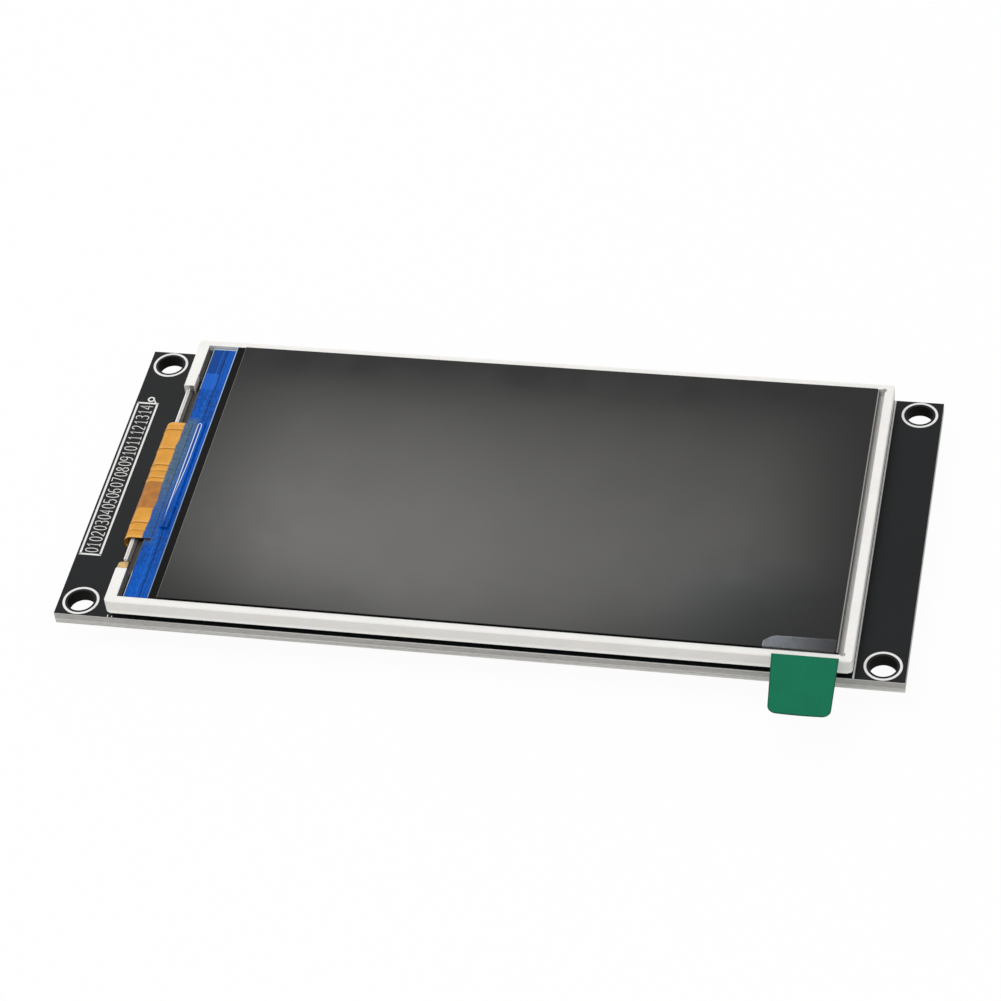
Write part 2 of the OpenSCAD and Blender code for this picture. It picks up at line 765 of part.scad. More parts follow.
// Moulded package body, its four sides drafted both ways from the middle
module package_body(l, w, h, foot) {
    d = 0.12;
    intersection() {
        along_y(-w / 2, w / 2)
            polygon([[-l / 2 + d, foot], [l / 2 - d, foot], [l / 2, h / 2], [l / 2 - d, h],
                     [-l / 2 + d, h], [-l / 2, h / 2]]);
        along_x(-l / 2, l / 2)
            polygon([[-w / 2 + d, foot], [w / 2 - d, foot], [w / 2, h / 2], [w / 2 - d, h],
                     [-w / 2 + d, h], [-w / 2, h / 2]]);
    }
}

// Gull-wing lead that leaves a body's side at height z and ends in a flat foot
module gull_lead(side, w, z, width, reach = 0.75) {
    along_x(-width / 2, width / 2)
        polygon([
            [side * w / 2, z], [side * (w / 2 + 0.15), z], [side * (w / 2 + 0.35), 0],
            [side * (w / 2 + reach), 0], [side * (w / 2 + reach), lead_t],
            [side * (w / 2 + 0.5), lead_t], [side * (w / 2 + 0.3), z + lead_t],
            [side * w / 2, z + lead_t]
        ]);
}

module regulator_body() {
    color([0.1, 0.1, 0.1]) under()
        translate([regulator_x, regulator_y, 0])
            package_body(regulator_l, regulator_w, regulator_h, regulator_leg_t);
}

// Three flat legs on one side and the wide heat tab that runs through to the other
module regulator_leads() {
    color([0.75, 0.75, 0.74]) under() translate([regulator_x, regulator_y, 0]) {
        for (x = [-regulator_pitch, regulator_pitch])
            block(x - regulator_leg_w / 2, x + regulator_leg_w / 2, -regulator_w / 2 - 1,
                  -regulator_w / 2 + 0.6, 0, regulator_leg_t);
        plate(0, regulator_leg_t) {
            translate([-0.25, -regulator_w / 2 - 1]) square([0.5, regulator_w / 2 + 1]);
            translate([-0.85, -0.3]) square([1.7, regulator_w / 2 + 0.9]);
        }
    }
}

module transistor_body() {
    color([0.1, 0.1, 0.1]) under()
        translate([transistor_x, transistor_y, 0])
            package_body(transistor_l, transistor_w, transistor_h, transistor_gap);
}

module transistor_leads() {
    mid = transistor_h / 2 - lead_t / 2;
    color([0.75, 0.75, 0.74]) under() translate([transistor_x, transistor_y, 0]) {
        gull_lead(1, transistor_w, mid, transistor_lead_w);
        for (side = [-1, 1])
            translate([side * transistor_pitch, 0, 0]) gull_lead(-1, transistor_w, mid, transistor_lead_w);
    }
}

// Ceramic body of a chip part, between its two terminals
module chip_body(l, w, h) {
    block(terminal_l - l / 2, l / 2 - terminal_l, -w / 2, w / 2, 0.03, h - 0.03);
}

// The two terminals of a chip part, each with its solder fillet
module chip_terminals(l, w, h) {
    for (side = [-1, 1])
        along_y(-w / 2, w / 2)
            polygon([
                [side * (l / 2 - terminal_l), 0], [side * (l / 2 + fillet_l), 0],
                [side * l / 2, h * 0.6], [side * l / 2, h], [side * (l / 2 - terminal_l), h]
            ]);
}

// Every capacitor's and every resistor's place
module capacitor_places() {
    for (i = [0:capacitor_count - 1])
        translate([capacitor_x, capacitor_y + (i - 1) * capacitor_pitch, 0]) children();
}

module resistor_places() {
    for (i = [0:resistor_count - 1])
        translate([resistor_x, (i - (resistor_count - 1) / 2) * resistor_pitch, 0]) children();
}

module chip_capacitors() {
    color([0.6, 0.48, 0.35]) under() capacitor_places() chip_body(capacitor_l, capacitor_w, capacitor_h);
}

module capacitor_terminals() {
    color([0.75, 0.75, 0.74]) under()
        capacitor_places() chip_terminals(capacitor_l, capacitor_w, capacitor_h);
}

module chip_resistors() {
    color([0.12, 0.12, 0.12]) under() resistor_places() chip_body(resistor_l, resistor_w, resistor_h);
}

module resistor_terminals() {
    color([0.75, 0.75, 0.74]) under()
        resistor_places() chip_terminals(resistor_l, resistor_w, resistor_h);
}

circuit_board();
mounting_tape();
backlight_frame();
reflector_sheet();
light_guide();
diffuser_sheet();
lower_prism_sheet();
upper_prism_sheet();
lamp_strip();
backlight_lamps();
rim_tape();
rear_polarizer();
tft_glass();
colour_filter_glass();
front_polarizer();
driver_chip();
ledge_coat();
display_tail();
tail_lands();
protective_film();
tab_strip();
pull_tab();
ribbon_socket();
socket_contacts();
socket_anchors();
regulator_body();
regulator_leads();
transistor_body();
transistor_leads();
chip_capacitors();
capacitor_terminals();
chip_resistors();
resistor_terminals();
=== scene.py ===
"""Looks of a bare colour display module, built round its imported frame.

Each operator finishes one piece or one group of like pieces. New surfaces are worked out with numpy
as closed skins of two parameters, in metres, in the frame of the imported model.
"""

import json
import math

import bpy
import numpy as np
from mathutils import Matrix, Vector


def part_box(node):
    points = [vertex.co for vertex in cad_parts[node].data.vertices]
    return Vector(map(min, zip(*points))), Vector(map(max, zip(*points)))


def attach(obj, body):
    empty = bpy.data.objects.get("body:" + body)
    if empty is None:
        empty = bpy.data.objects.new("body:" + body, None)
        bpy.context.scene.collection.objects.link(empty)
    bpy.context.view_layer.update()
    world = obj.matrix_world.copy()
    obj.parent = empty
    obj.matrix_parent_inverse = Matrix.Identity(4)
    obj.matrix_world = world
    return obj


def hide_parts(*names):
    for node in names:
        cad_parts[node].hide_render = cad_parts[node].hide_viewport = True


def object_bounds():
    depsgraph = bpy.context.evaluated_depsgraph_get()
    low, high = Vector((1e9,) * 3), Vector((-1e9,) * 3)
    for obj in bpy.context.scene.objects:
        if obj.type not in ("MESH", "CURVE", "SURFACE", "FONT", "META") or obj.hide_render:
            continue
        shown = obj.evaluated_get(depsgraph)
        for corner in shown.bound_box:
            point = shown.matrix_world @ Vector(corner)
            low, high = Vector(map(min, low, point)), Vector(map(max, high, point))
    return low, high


bl_info = {
    "name": "Display module looks",
    "version": (1, 0, 0),
    "blender": (4, 5, 0),
    "location": "3D View > Sidebar > Display module",
    "description": "Finishes, printed marks, folded tail and studio for a bare display module",
    "category": "Object",
}

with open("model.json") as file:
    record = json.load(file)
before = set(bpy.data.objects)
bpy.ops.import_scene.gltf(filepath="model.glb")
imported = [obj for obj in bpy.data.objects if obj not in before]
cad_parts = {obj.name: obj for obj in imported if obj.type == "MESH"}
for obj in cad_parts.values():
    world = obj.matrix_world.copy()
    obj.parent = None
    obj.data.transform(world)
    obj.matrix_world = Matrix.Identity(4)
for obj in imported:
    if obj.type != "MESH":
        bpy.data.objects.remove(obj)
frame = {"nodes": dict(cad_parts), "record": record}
CAD_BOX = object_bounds()
MM = 0.001


def tone(code):
    """A colour written as two hexadecimal digits a channel, turned into linear light."""
    parts = [int(code[i : i + 2], 16) / 255 for i in (0, 2, 4)]
    return tuple(p / 12.92 if p <= 0.04045 else ((p + 0.055) / 1.055) ** 2.4 for p in parts)


def limits(node):
    """Lowest and highest corner of a CAD node, in millimetres."""
    low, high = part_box(node)
    return np.array(low) / MM, np.array(high) / MM


# ---------- sizes and colours ----------


def colour_field(name, description, code):
    """A colour property with the usual range."""
    return bpy.props.FloatVectorProperty(
        name=name, description=description, default=tone(code), subtype="COLOR", size=3, min=0, max=1
    )


def length_field(name, description, default, low, high):
    """A length property in metres, shown in the scene's unit."""
    return bpy.props.FloatProperty(
        name=name, description=description, default=default, min=low, max=high, unit="LENGTH", precision=5
    )


class BoardLooks(bpy.types.PropertyGroup):
    """Board and what is printed on it."""

    mask: colour_field("Solder mask", "Colour of the board's coating", "16181a")
    laminate: colour_field("Laminate", "Colour of the cut glass-fibre edge", "d0ceca")
    ink: colour_field("Print", "Colour of the printed marks", "f2f2f0")
    line: length_field("Line width", "Width of a printed line", 0.3 * MM, 0.1 * MM, 0.6 * MM)
    ink_rise: length_field("Print thickness", "How far the print stands off", 0.02 * MM, 0.01 * MM, 0.05 * MM)
    ring: length_field("Ring diameter", "Outside diameter of the rings", 4.4 * MM, 3.6 * MM, 5 * MM)
    label_width: length_field("Label width", "Width of the number box", 2.5 * MM, 1.5 * MM, 4 * MM)
    label_length: length_field("Label length", "Length of the number box", 26.6 * MM, 10 * MM, 40 * MM)
    numbers: bpy.props.IntProperty(
        name="Numbers", description="How many contact numbers the box holds", default=14, min=2, max=30
    )


class PanelLooks(bpy.types.PropertyGroup):
    """Glass, film, coat and frame."""

    frame_white: colour_field("Frame", "Colour of the moulded frame", "fbf9f5")
    screen: colour_field("Screen", "Colour of the dark screen", "141414")
    border: colour_field("Border", "Colour of the black border", "141415")
    # colour of the painted glint on the upper glass's cut edge
    glass_edge_glint: colour_field("Glass edge", "Colour of a cut glass edge", "a9c4e4")
    coat: colour_field("Coat", "Colour of the blue sealing coat", "0459bd")
    coat_dark: colour_field("Coat shade", "Darker blue of the coat", "063f8a")
    foam: colour_field("Foam", "Colour of the foam tape", "0b0b0b")


class FlexLooks(bpy.types.PropertyGroup):
    """Folded tail and pull tab."""

    amber: colour_field("Amber film", "Colour of the tail", "e3a03c")
    amber_dark: colour_field("Amber shade", "Colour of the tail over its copper area", "b67734")
    relief: length_field("Relief", "Height of the ridges across the tail", 0.08 * MM, 0, 0.1 * MM)
    green: colour_field("Tab", "Colour of the pull tab", "0a7353")
    curl: length_field("Curl", "How far the tab's free end curls", 0.12 * MM, 0, 0.4 * MM)


class StudioLooks(bpy.types.PropertyGroup):
    """Camera and lights."""

    azimuth: bpy.props.FloatProperty(
        name="Azimuth", description="Camera's turn about the module", default=math.radians(15.615),
        subtype="ANGLE",
    )
    elevation: bpy.props.FloatProperty(
        name="Elevation", description="Camera's height as an angle", default=math.radians(44.287),
        subtype="ANGLE",
    )
    roll: bpy.props.FloatProperty(
        name="Roll", description="Camera's turn about its own line of sight", default=math.radians(-6.819),
        subtype="ANGLE",
    )
    distance: length_field("Distance", "Camera's distance from the module", 394.4 * MM, 0.1, 2)
    lens: bpy.props.FloatProperty(
        name="Lens", description="Focal length on a 36 mm sensor", default=118.52, min=20, max=300
    )
    fill: bpy.props.FloatProperty(
        name="Fill", description="Strength of the even light from all round", default=0.62, min=0, max=2
    )
    card: bpy.props.FloatProperty(
        name="Card", description="Strength of the soft card in the screen's reflection", default=6.2, min=0,
        max=30,
    )
    key: bpy.props.FloatProperty(
        name="Key", description="Power of the large lamp overhead", default=1.3, min=0, max=20, unit="POWER"
    )


GROUPS = {"board": BoardLooks, "panel": PanelLooks, "flex": FlexLooks, "studio": StudioLooks}


def looks(group):
    """The scene's values of one group."""
    return getattr(bpy.context.scene, "module_" + group)


# ---------- shapes as arrays ----------


def slab(top, bottom):
    """Closed skin between two grids of points, rows x columns x 3: both faces and a wall round the rim."""
    rows, cols = top.shape[:2]
    index = np.arange(rows * cols).reshape(rows, cols)
    face = np.stack([index[:-1, :-1], index[:-1, 1:], index[1:, 1:], index[1:, :-1]], -1).reshape(-1, 4)
    rim = np.concatenate([index[0], index[1:, -1], index[-1, -2::-1], index[-2:0:-1, 0]])
    after = np.roll(rim, -1)
    wall = np.stack([rim, rim + rows * cols, after + rows * cols, after], -1)
    points = np.concatenate([top.reshape(-1, 3), bottom.reshape(-1, 3)])
    return points, np.concatenate([face, face[:, ::-1] + rows * cols, wall])


def hoop(grid):
    """Closed skin of a ring: grid is rows x columns x 3 and wraps both ways."""
    rows, cols = grid.shape[:2]
    index = np.arange(rows * cols).reshape(rows, cols)
    across = np.roll(index, -1, 1)
    ahead = np.roll(index, -1, 0)
    both = np.roll(across, -1, 0)
    return grid.reshape(-1, 3), np.stack([index, across, both, ahead], -1).reshape(-1, 4)


def together(skins):
    """Several skins as one, with their face numbers moved on."""
    starts = np.cumsum([0] + [len(p) for p, _ in skins[:-1]])
    points = np.concatenate([p for p, _ in skins])
    return points, np.concatenate([f + s for (_, f), s in zip(skins, starts)])


def outward(points, faces):
    """The faces turned so that the skin's volume, the sum of corner triple products, is positive."""
    a, b, c, d = (points[faces[:, i]] for i in range(4))
    volume = (np.cross(a, b) * c).sum() + (np.cross(a, c) * d).sum()
    return faces if volume > 0 else faces[:, ::-1]


def ribbon(path, width, low, high):
    """Flat bar along an open plan path: at each point half the width goes to both sides along the
    mean normal of the two runs that meet there, longer at a corner so that the bar stays as wide."""
    path = np.asarray(path, float)
    run = np.diff(path, axis=0)
    run /= np.linalg.norm(run, axis=1, keepdims=True)
    before = np.vstack([run[:1], run])
    after = np.vstack([run, run[-1:]])
    normal = np.stack([-(before + after)[:, 1], (before + after)[:, 0]], -1)
    normal /= np.linalg.norm(normal, axis=1, keepdims=True)
    side = np.stack([-after[:, 1], after[:, 0]], -1)
    reach = width / 2 / np.clip((normal * side).sum(1), 0.5, 1)
    edges = np.stack([path + normal * reach[:, None], path - normal * reach[:, None]], 1)
    level = np.full(edges.shape[:2] + (1,), high)
    return slab(np.concatenate([edges, level], -1), np.concatenate([edges, level * 0 + low], -1))


def flat_ring(x, y, inner, outer, low, high, steps=72):
    """Flat ring: a rectangle from inner to outer radius and from low to high, carried round a circle."""
    turn = np.linspace(0, 2 * math.pi, steps, endpoint=False)[:, None]
    radius = np.array([outer, outer, inner, inner])[None]
    level = np.broadcast_to(np.array([low, high, high, low])[None], (steps, 4))
    return hoop(np.stack([x + radius * np.cos(turn), y + radius * np.sin(turn), level], -1))


def build(name, skin, finish, smooth=35):
    """Makes the skin, given in millimetres, a piece that rides on the module's one body."""
    points, faces = skin
    points = points * MM
    faces = outward(points, faces)
    mesh = bpy.data.meshes.new(name)
    mesh.from_pydata(points.tolist(), [], faces.tolist())
    mesh.polygons.foreach_set("use_smooth", np.ones(len(faces), bool))
    mesh.set_sharp_from_angle(angle=math.radians(smooth))
    mesh.materials.append(finish)
    piece = bpy.data.objects.new(name, mesh)
    bpy.context.scene.collection.objects.link(piece)
    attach(piece, "root")
    return piece


# ---------- finishes ----------


class Finish:
    """A Principled material with short calls for the pattern nodes that drive it."""

    def __init__(self, name, **sockets):
        self.material = bpy.data.materials.new(name)
        self.material.use_nodes = True
        self.tree = self.material.node_tree
        self.tree.nodes.clear()
        output = self.node("OutputMaterial")
        self.skin = self.node("BsdfPrincipled")
        self.tree.links.new(self.skin.outputs["BSDF"], output.inputs["Surface"])
        for key, value in sockets.items():
            self.skin.inputs[key.replace("_", " ")].default_value = value

    def node(self, kind, **settings):
        """A new shader node with its settings."""
        made = self.tree.nodes.new("ShaderNode" + kind)
        for key, value in settings.items():
            setattr(made, key, value)
        return made

    def put(self, socket, value):
        """Links a socket to a value, or writes the value on it."""
        if isinstance(value, bpy.types.NodeSocket):
            self.tree.links.new(value, socket)
        elif socket.type == "RGBA":
            socket.default_value = (*value[:3], 1)
        else:
            socket.default_value = value

    def place(self, stretch=(1, 1, 1)):
        """Object coordinates in millimetres, multiplied by stretch."""
        scaled = self.node("VectorMath", operation="MULTIPLY")
        self.put(scaled.inputs[0], self.node("TexCoord").outputs["Object"])
        scaled.inputs[1].default_value = [s / MM for s in stretch]
        return scaled.outputs[0]

    def axes(self):
        """X, Y and Z in millimetres."""
        parts = self.node("SeparateXYZ")
        self.put(parts.inputs[0], self.place())
        return parts.outputs

    def facing(self):
        """X, Y and Z of the surface's direction."""
        parts = self.node("SeparateXYZ")
        self.put(parts.inputs[0], self.node("NewGeometry").outputs["Normal"])
        return parts.outputs

    def sum(self, operation, a, b=0.0, c=0.0, clamp=False):
        """One Math node."""
        made = self.node("Math", operation=operation, use_clamp=clamp)
        for socket, value in zip(made.inputs, (a, b, c)):
            self.put(socket, value)
        return made.outputs[0]

    def step(self, value, start, end, low=0.0, high=1.0):
        """Smooth step from low to high as value goes from start to end."""
        made = self.node("MapRange", interpolation_type="SMOOTHSTEP")
        keys = ("Value", "From Min", "From Max", "To Min", "To Max")
        for key, v in zip(keys, (value, start, end, low, high)):
            self.put(made.inputs[key], v)
        return made.outputs[0]

    def ramp(self, value, start, end):
        """Straight ramp from 0 to 1 as value goes from start to end."""
        made = self.node("MapRange")
        for key, v in (("Value", value), ("From Min", start), ("From Max", end)):
            self.put(made.inputs[key], v)
        return made.outputs[0]

    def band(self, value, start, end, soft):
        """1 between start and end, falling to 0 within soft."""
        rise = self.step(value, start - soft, start)
        return self.sum("MULTIPLY", rise, self.step(value, end, end + soft, 1.0, 0.0))

    def noise(self, scale, detail=3.0, rough=0.55, stretch=(1, 1, 1)):
        """Fractal noise with the given number of cells a millimetre."""
        made = self.node("TexNoise")
        self.put(made.inputs["Vector"], self.place(stretch))
        for key, v in (("Scale", scale), ("Detail", detail), ("Roughness", rough)):
            self.put(made.inputs[key], v)
        return made.outputs["Fac"]

    def cells(self, scale, stretch=(1, 1, 1), feature="F1"):
        """Voronoi cells: distance and a random value for each."""
        made = self.node("TexVoronoi", feature=feature)
        self.put(made.inputs["Vector"], self.place(stretch))
        self.put(made.inputs["Scale"], scale)
        return made.outputs

    def mix(self, amount, a, b, blend="MIX"):
        """Two colours mixed."""
        made = self.node("Mix", data_type="RGBA", blend_type=blend)
        self.put(made.inputs[0], amount)
        self.put(made.inputs[6], a)
        self.put(made.inputs[7], b)
        return made.outputs[2]

    def mix_value(self, amount, a, b):
        """Two numbers mixed."""
        made = self.node("Mix", data_type="FLOAT")
        for socket, value in zip(made.inputs[:1] + made.inputs[2:4], (amount, a, b)):
            self.put(socket, value)
        return made.outputs[0]

    def shade(self, base, amount, spread):
        """A colour made lighter and darker by a value from 0 to 1, by up to spread each way."""
        factor = self.step(amount, 0.25, 0.75, 1 - spread, 1 + spread)
        made = self.node("VectorMath", operation="SCALE")
        if isinstance(base, bpy.types.NodeSocket):
            self.put(made.inputs[0], base)
        else:
            made.inputs[0].default_value = base[:3]
        self.put(made.inputs["Scale"], factor)
        return made.outputs[0]

    def colour(self, value):
        self.put(self.skin.inputs["Base Color"], value)
        return self

    def roughness(self, value):
        self.put(self.skin.inputs["Roughness"], value)
        return self

    def bump(self, height, rise, strength=1.0):
        """Relief of the given rise in millimetres."""
        made = self.node("Bump")
        made.inputs["Strength"].default_value = strength
        made.inputs["Distance"].default_value = rise * MM
        self.put(made.inputs["Height"], height)
        if self.skin.inputs["Normal"].is_linked:
            self.put(made.inputs["Normal"], self.skin.inputs["Normal"].links[0].from_socket)
        self.put(self.skin.inputs["Normal"], made.outputs[0])
        return self


def dress(finish, *nodes):
    """Gives CAD nodes a finish in all of their material slots."""
    for name in nodes:
        piece = frame["nodes"][name]
        if not piece.material_slots:
            piece.data.materials.append(finish.material)
        for slot in piece.material_slots:
            slot.material = finish.material


# Where the corner legs end along Y, in millimetres: the sill lies open between these two places.
SILL_RUN = (-17.4, 14.4)


def beyond_sill(f, y):
    """1 beside the corner legs, 0 along the open sill."""
    front, rear = SILL_RUN
    return f.sum("MAXIMUM", f.step(y, rear - 0.2, rear + 0.2), f.step(y, front + 0.2, front - 0.2))


def board_finish():
    """Near-black mask with faint orange peel; cut edges show fibre layers; drilled walls are dark."""
    own = looks("board")
    f = Finish("solder_mask_and_laminate", Specular_IOR_Level=0.12)
    x, y, z = f.axes()
    nz = f.facing()[2]
    low, high = limits("circuit_board")
    flat = f.step(f.sum("ABSOLUTE", nz), 0.4, 0.6)
    rim = f.sum(
        "MAXIMUM",
        f.step(f.sum("ABSOLUTE", x), high[0] - 0.1, high[0] - 0.05),
        f.step(f.sum("ABSOLUTE", y), high[1] - 0.1, high[1] - 0.05),
    )
    wide = f.noise(0.05, 2)
    mask = f.shade(own.mask, wide, 0.12)
    mask = f.shade(mask, f.noise(3.0, 2), 0.06)
    cloth = f.noise(3.5, 5, 0.7, (0.35, 0.35, 3.2))
    layers = f.noise(1.4, 1, 0.4, (0.02, 0.02, 2.4))
    edge = f.shade(f.shade(own.laminate, cloth, 0.2), layers, 0.15)
    core = f.band(z, low[2] + 0.75, high[2] - 0.2, 0.12)
    edge = f.mix(f.sum("MULTIPLY", core, 0.7), edge, f.shade(tone("a2a09d"), cloth, 0.2))
    wall = f.mix(rim, tone("181715"), edge)
    f.colour(f.mix(flat, wall, mask))
    f.roughness(f.step(flat, 0, 1, 0.62, 0.34))
    f.bump(f.noise(1.2, 2), 0.012)
    f.bump(f.sum("MULTIPLY", cloth, f.sum("SUBTRACT", 1.0, flat)), 0.05)
    return f


def ink_finish():
    """Slightly uneven white print."""
    f = Finish("white_print", Specular_IOR_Level=0.25)
    f.colour(f.shade(looks("board").ink, f.noise(4.0, 3), 0.05))
    f.roughness(0.6)
    f.bump(f.noise(7.0, 2), 0.01)
    return f


def frame_finish():
    """Satin white moulding: faint flow marks along the rails, a fine dark line painted as the shade in a
    groove on the sill, a dark strip of painted shade along the sill's inner part, speckled leg ends, a dark
    step under the legs, and painted shade on the upright faces above the foot, which leaves the foot a
    painted highlight."""
    own = looks("panel")
    f = Finish("moulded_white", Specular_IOR_Level=0.35, Subsurface_Weight=0.08, Subsurface_Scale=0.4 * MM)
    x, y, z = f.axes()
    normal = f.facing()
    low, high = limits("backlight_frame")
    sill_outer, sill_inner = low[0] + 0.3, low[0] + 1.15
    base = f.shade(own.frame_white, f.noise(0.35, 3), 0.03)
    base = f.shade(base, f.noise(6.0, 4, 0.65, (0.15, 1, 1)), 0.015)
    run = f.band(y, *SILL_RUN, 0.05)
    # painted shade: a fine dark line along the sill stands for the shade in a groove
    line = f.sum("MULTIPLY", f.band(x, sill_outer + 0.16, sill_outer + 0.24, 0.03), run)
    base = f.mix(f.sum("MULTIPLY", line, 0.6), base, tone("6f6c66"))
    # painted shade: a dark strip along the sill's inner part
    tape = f.sum("MULTIPLY", f.band(x, sill_outer + 0.43, sill_inner + 0.1, 0.04), run)
    base = f.mix(tape, base, f.shade(tone("46423e"), f.noise(2.5, 3), 0.25))
    leg_end = f.sum("GREATER_THAN", f.sum("ABSOLUTE", normal[1]), 0.7)
    leg_end = f.sum("MULTIPLY", f.sum("LESS_THAN", x, sill_inner), leg_end)
    leg_end = f.sum("MULTIPLY", leg_end, f.band(y, SILL_RUN[0] - 0.6, SILL_RUN[1] + 0.6, 0.2))
    speckle = f.step(f.noise(5.0, 3), 0.42, 0.6, 0.0, 0.35)
    base = f.mix(f.sum("MULTIPLY", leg_end, speckle), base, tone("6f6d6a"))
    sunk = f.step(z, high[2] - 0.05, high[2] - 0.15)
    shelf = f.sum("MULTIPLY", f.band(x, low[0] + 1.38, low[0] + 2.3, 0.02), sunk)
    shelf = f.sum("MULTIPLY", shelf, f.sum("LESS_THAN", f.sum("ABSOLUTE", y), high[1] - 1.1))
    base = f.mix(f.sum("MULTIPLY", shelf, 0.93), base, tone("141414"))
    # painted shade on the upright faces above the foot; the foot keeps the lighter base as a painted
    # highlight
    upright_shaded = f.step(f.sum("ABSOLUTE", normal[2]), 0.5, 0.3)
    painted_shade_above_foot = f.step(z, low[2] + 0.3, low[2] + 0.5)
    base = f.mix(f.sum("MULTIPLY", painted_shade_above_foot, f.sum("MULTIPLY", upright_shaded, 0.3)), base, tone("d2cfc8"))
    f.colour(base)
    f.roughness(f.step(f.noise(2.5, 3), 0.3, 0.7, 0.38, 0.5))
    f.bump(f.noise(9.0, 3), 0.01)
    return f


def foam_finish():
    """Black closed-cell foam."""
    f = Finish("black_foam", Specular_IOR_Level=0.2)
    f.colour(f.shade(looks("panel").foam, f.noise(5.0, 4), 0.4))
    f.roughness(0.85)
    f.bump(f.cells(7.0)["Distance"], 0.06)
    return f


def screen_finish():
    """Dark film over the polarizer: nearly mirror smooth, with pale hairlines painted along its two cut edges
    as highlights.
    """
    own = looks("panel")
    low, high = limits("protective_film")
    f = Finish("screen_film", Specular_IOR_Level=0.24)
    x = f.axes()[0]
    base = f.shade(own.screen, f.noise(0.06, 3), 0.12)
    base = f.shade(base, f.noise(8.0, 3), 0.08)
    # painted highlights: pale hairlines along the film's two cut edges
    tail_edge_highlight = f.band(x, low[0] - 1, low[0] + 0.05, 0.05)
    end_edge_highlight = f.band(x, high[0] - 0.13, high[0] + 1, 0.05)
    base = f.mix(f.sum("MULTIPLY", tail_edge_highlight, 0.4), base, tone("8d8a80"))
    base = f.mix(f.sum("MULTIPLY", end_edge_highlight, 0.8), base, tone("a5a29d"))
    f.colour(base)
    f.roughness(f.step(f.noise(0.15, 2), 0.3, 0.7, 0.06, 0.1))
    f.bump(f.noise(0.06, 2), 0.004)
    return f


def border_finish():
    """Upper glass: black border under glass, with a pale glint painted along its cut edge on the side of the
    chip, brighter towards the rear.
    """
    own = looks("panel")
    low, high = limits("colour_filter_glass")
    f = Finish("filter_glass_border", Specular_IOR_Level=0.03, Roughness=0.2)
    x, y = f.axes()[:2]
    base = f.shade(own.border, f.noise(2.0, 3), 0.2)
    # painted highlight: a pale glint along the cut edge, brighter towards the rear
    cut = f.band(x, low[0] - 1, low[0] + 0.1, 0.04)
    bright = f.step(y, -high[1], high[1], 0.55, 1.0)
    f.colour(f.mix(f.sum("MULTIPLY", cut, bright), base, own.glass_edge_glint))
    return f


def ledge_glass_finish():
    """Lower glass: dark tape seen through it, with pale glints painted along its rear edge and its cut edge
    on the tail's side.
    """
    low, high = limits("tft_glass")
    f = Finish("ledge_glass", Specular_IOR_Level=0.2, Roughness=0.12)
    x, y = f.axes()[:2]
    flat = f.step(f.sum("ABSOLUTE", f.facing()[2]), 0.4, 0.6)
    # painted highlights: pale glints along the rear edge and the cut edge, strong beside the legs and faint
    # along the open sill
    rear = f.band(y, high[1] - 0.3, high[1] + 1, 0.05)
    strength = f.sum("MULTIPLY_ADD", beyond_sill(f, y), 0.8, 0.15)
    cut = f.sum("MULTIPLY", f.band(x, low[0] - 1, low[0] + 0.07, 0.03), strength)
    base = f.mix(f.sum("MAXIMUM", rear, cut), f.shade(tone("1d242c"), f.noise(1.0, 3), 0.2), tone("c2d0e0"))
    f.colour(f.mix(flat, f.shade(tone("14181b"), f.noise(3.0, 3), 0.15), base))
    return f


# Creases of the coat, painted as lines of shade and one of highlight: place from the chip's middle, half
# width in millimetres, colour, strength.
COAT_CREASE_SHADING = ((0.0, 0.05, "05224c", 0.8), (0.42, 0.03, "0a3f8c", 0.6), (-0.5, 0.03, "2f79d8", 0.5))


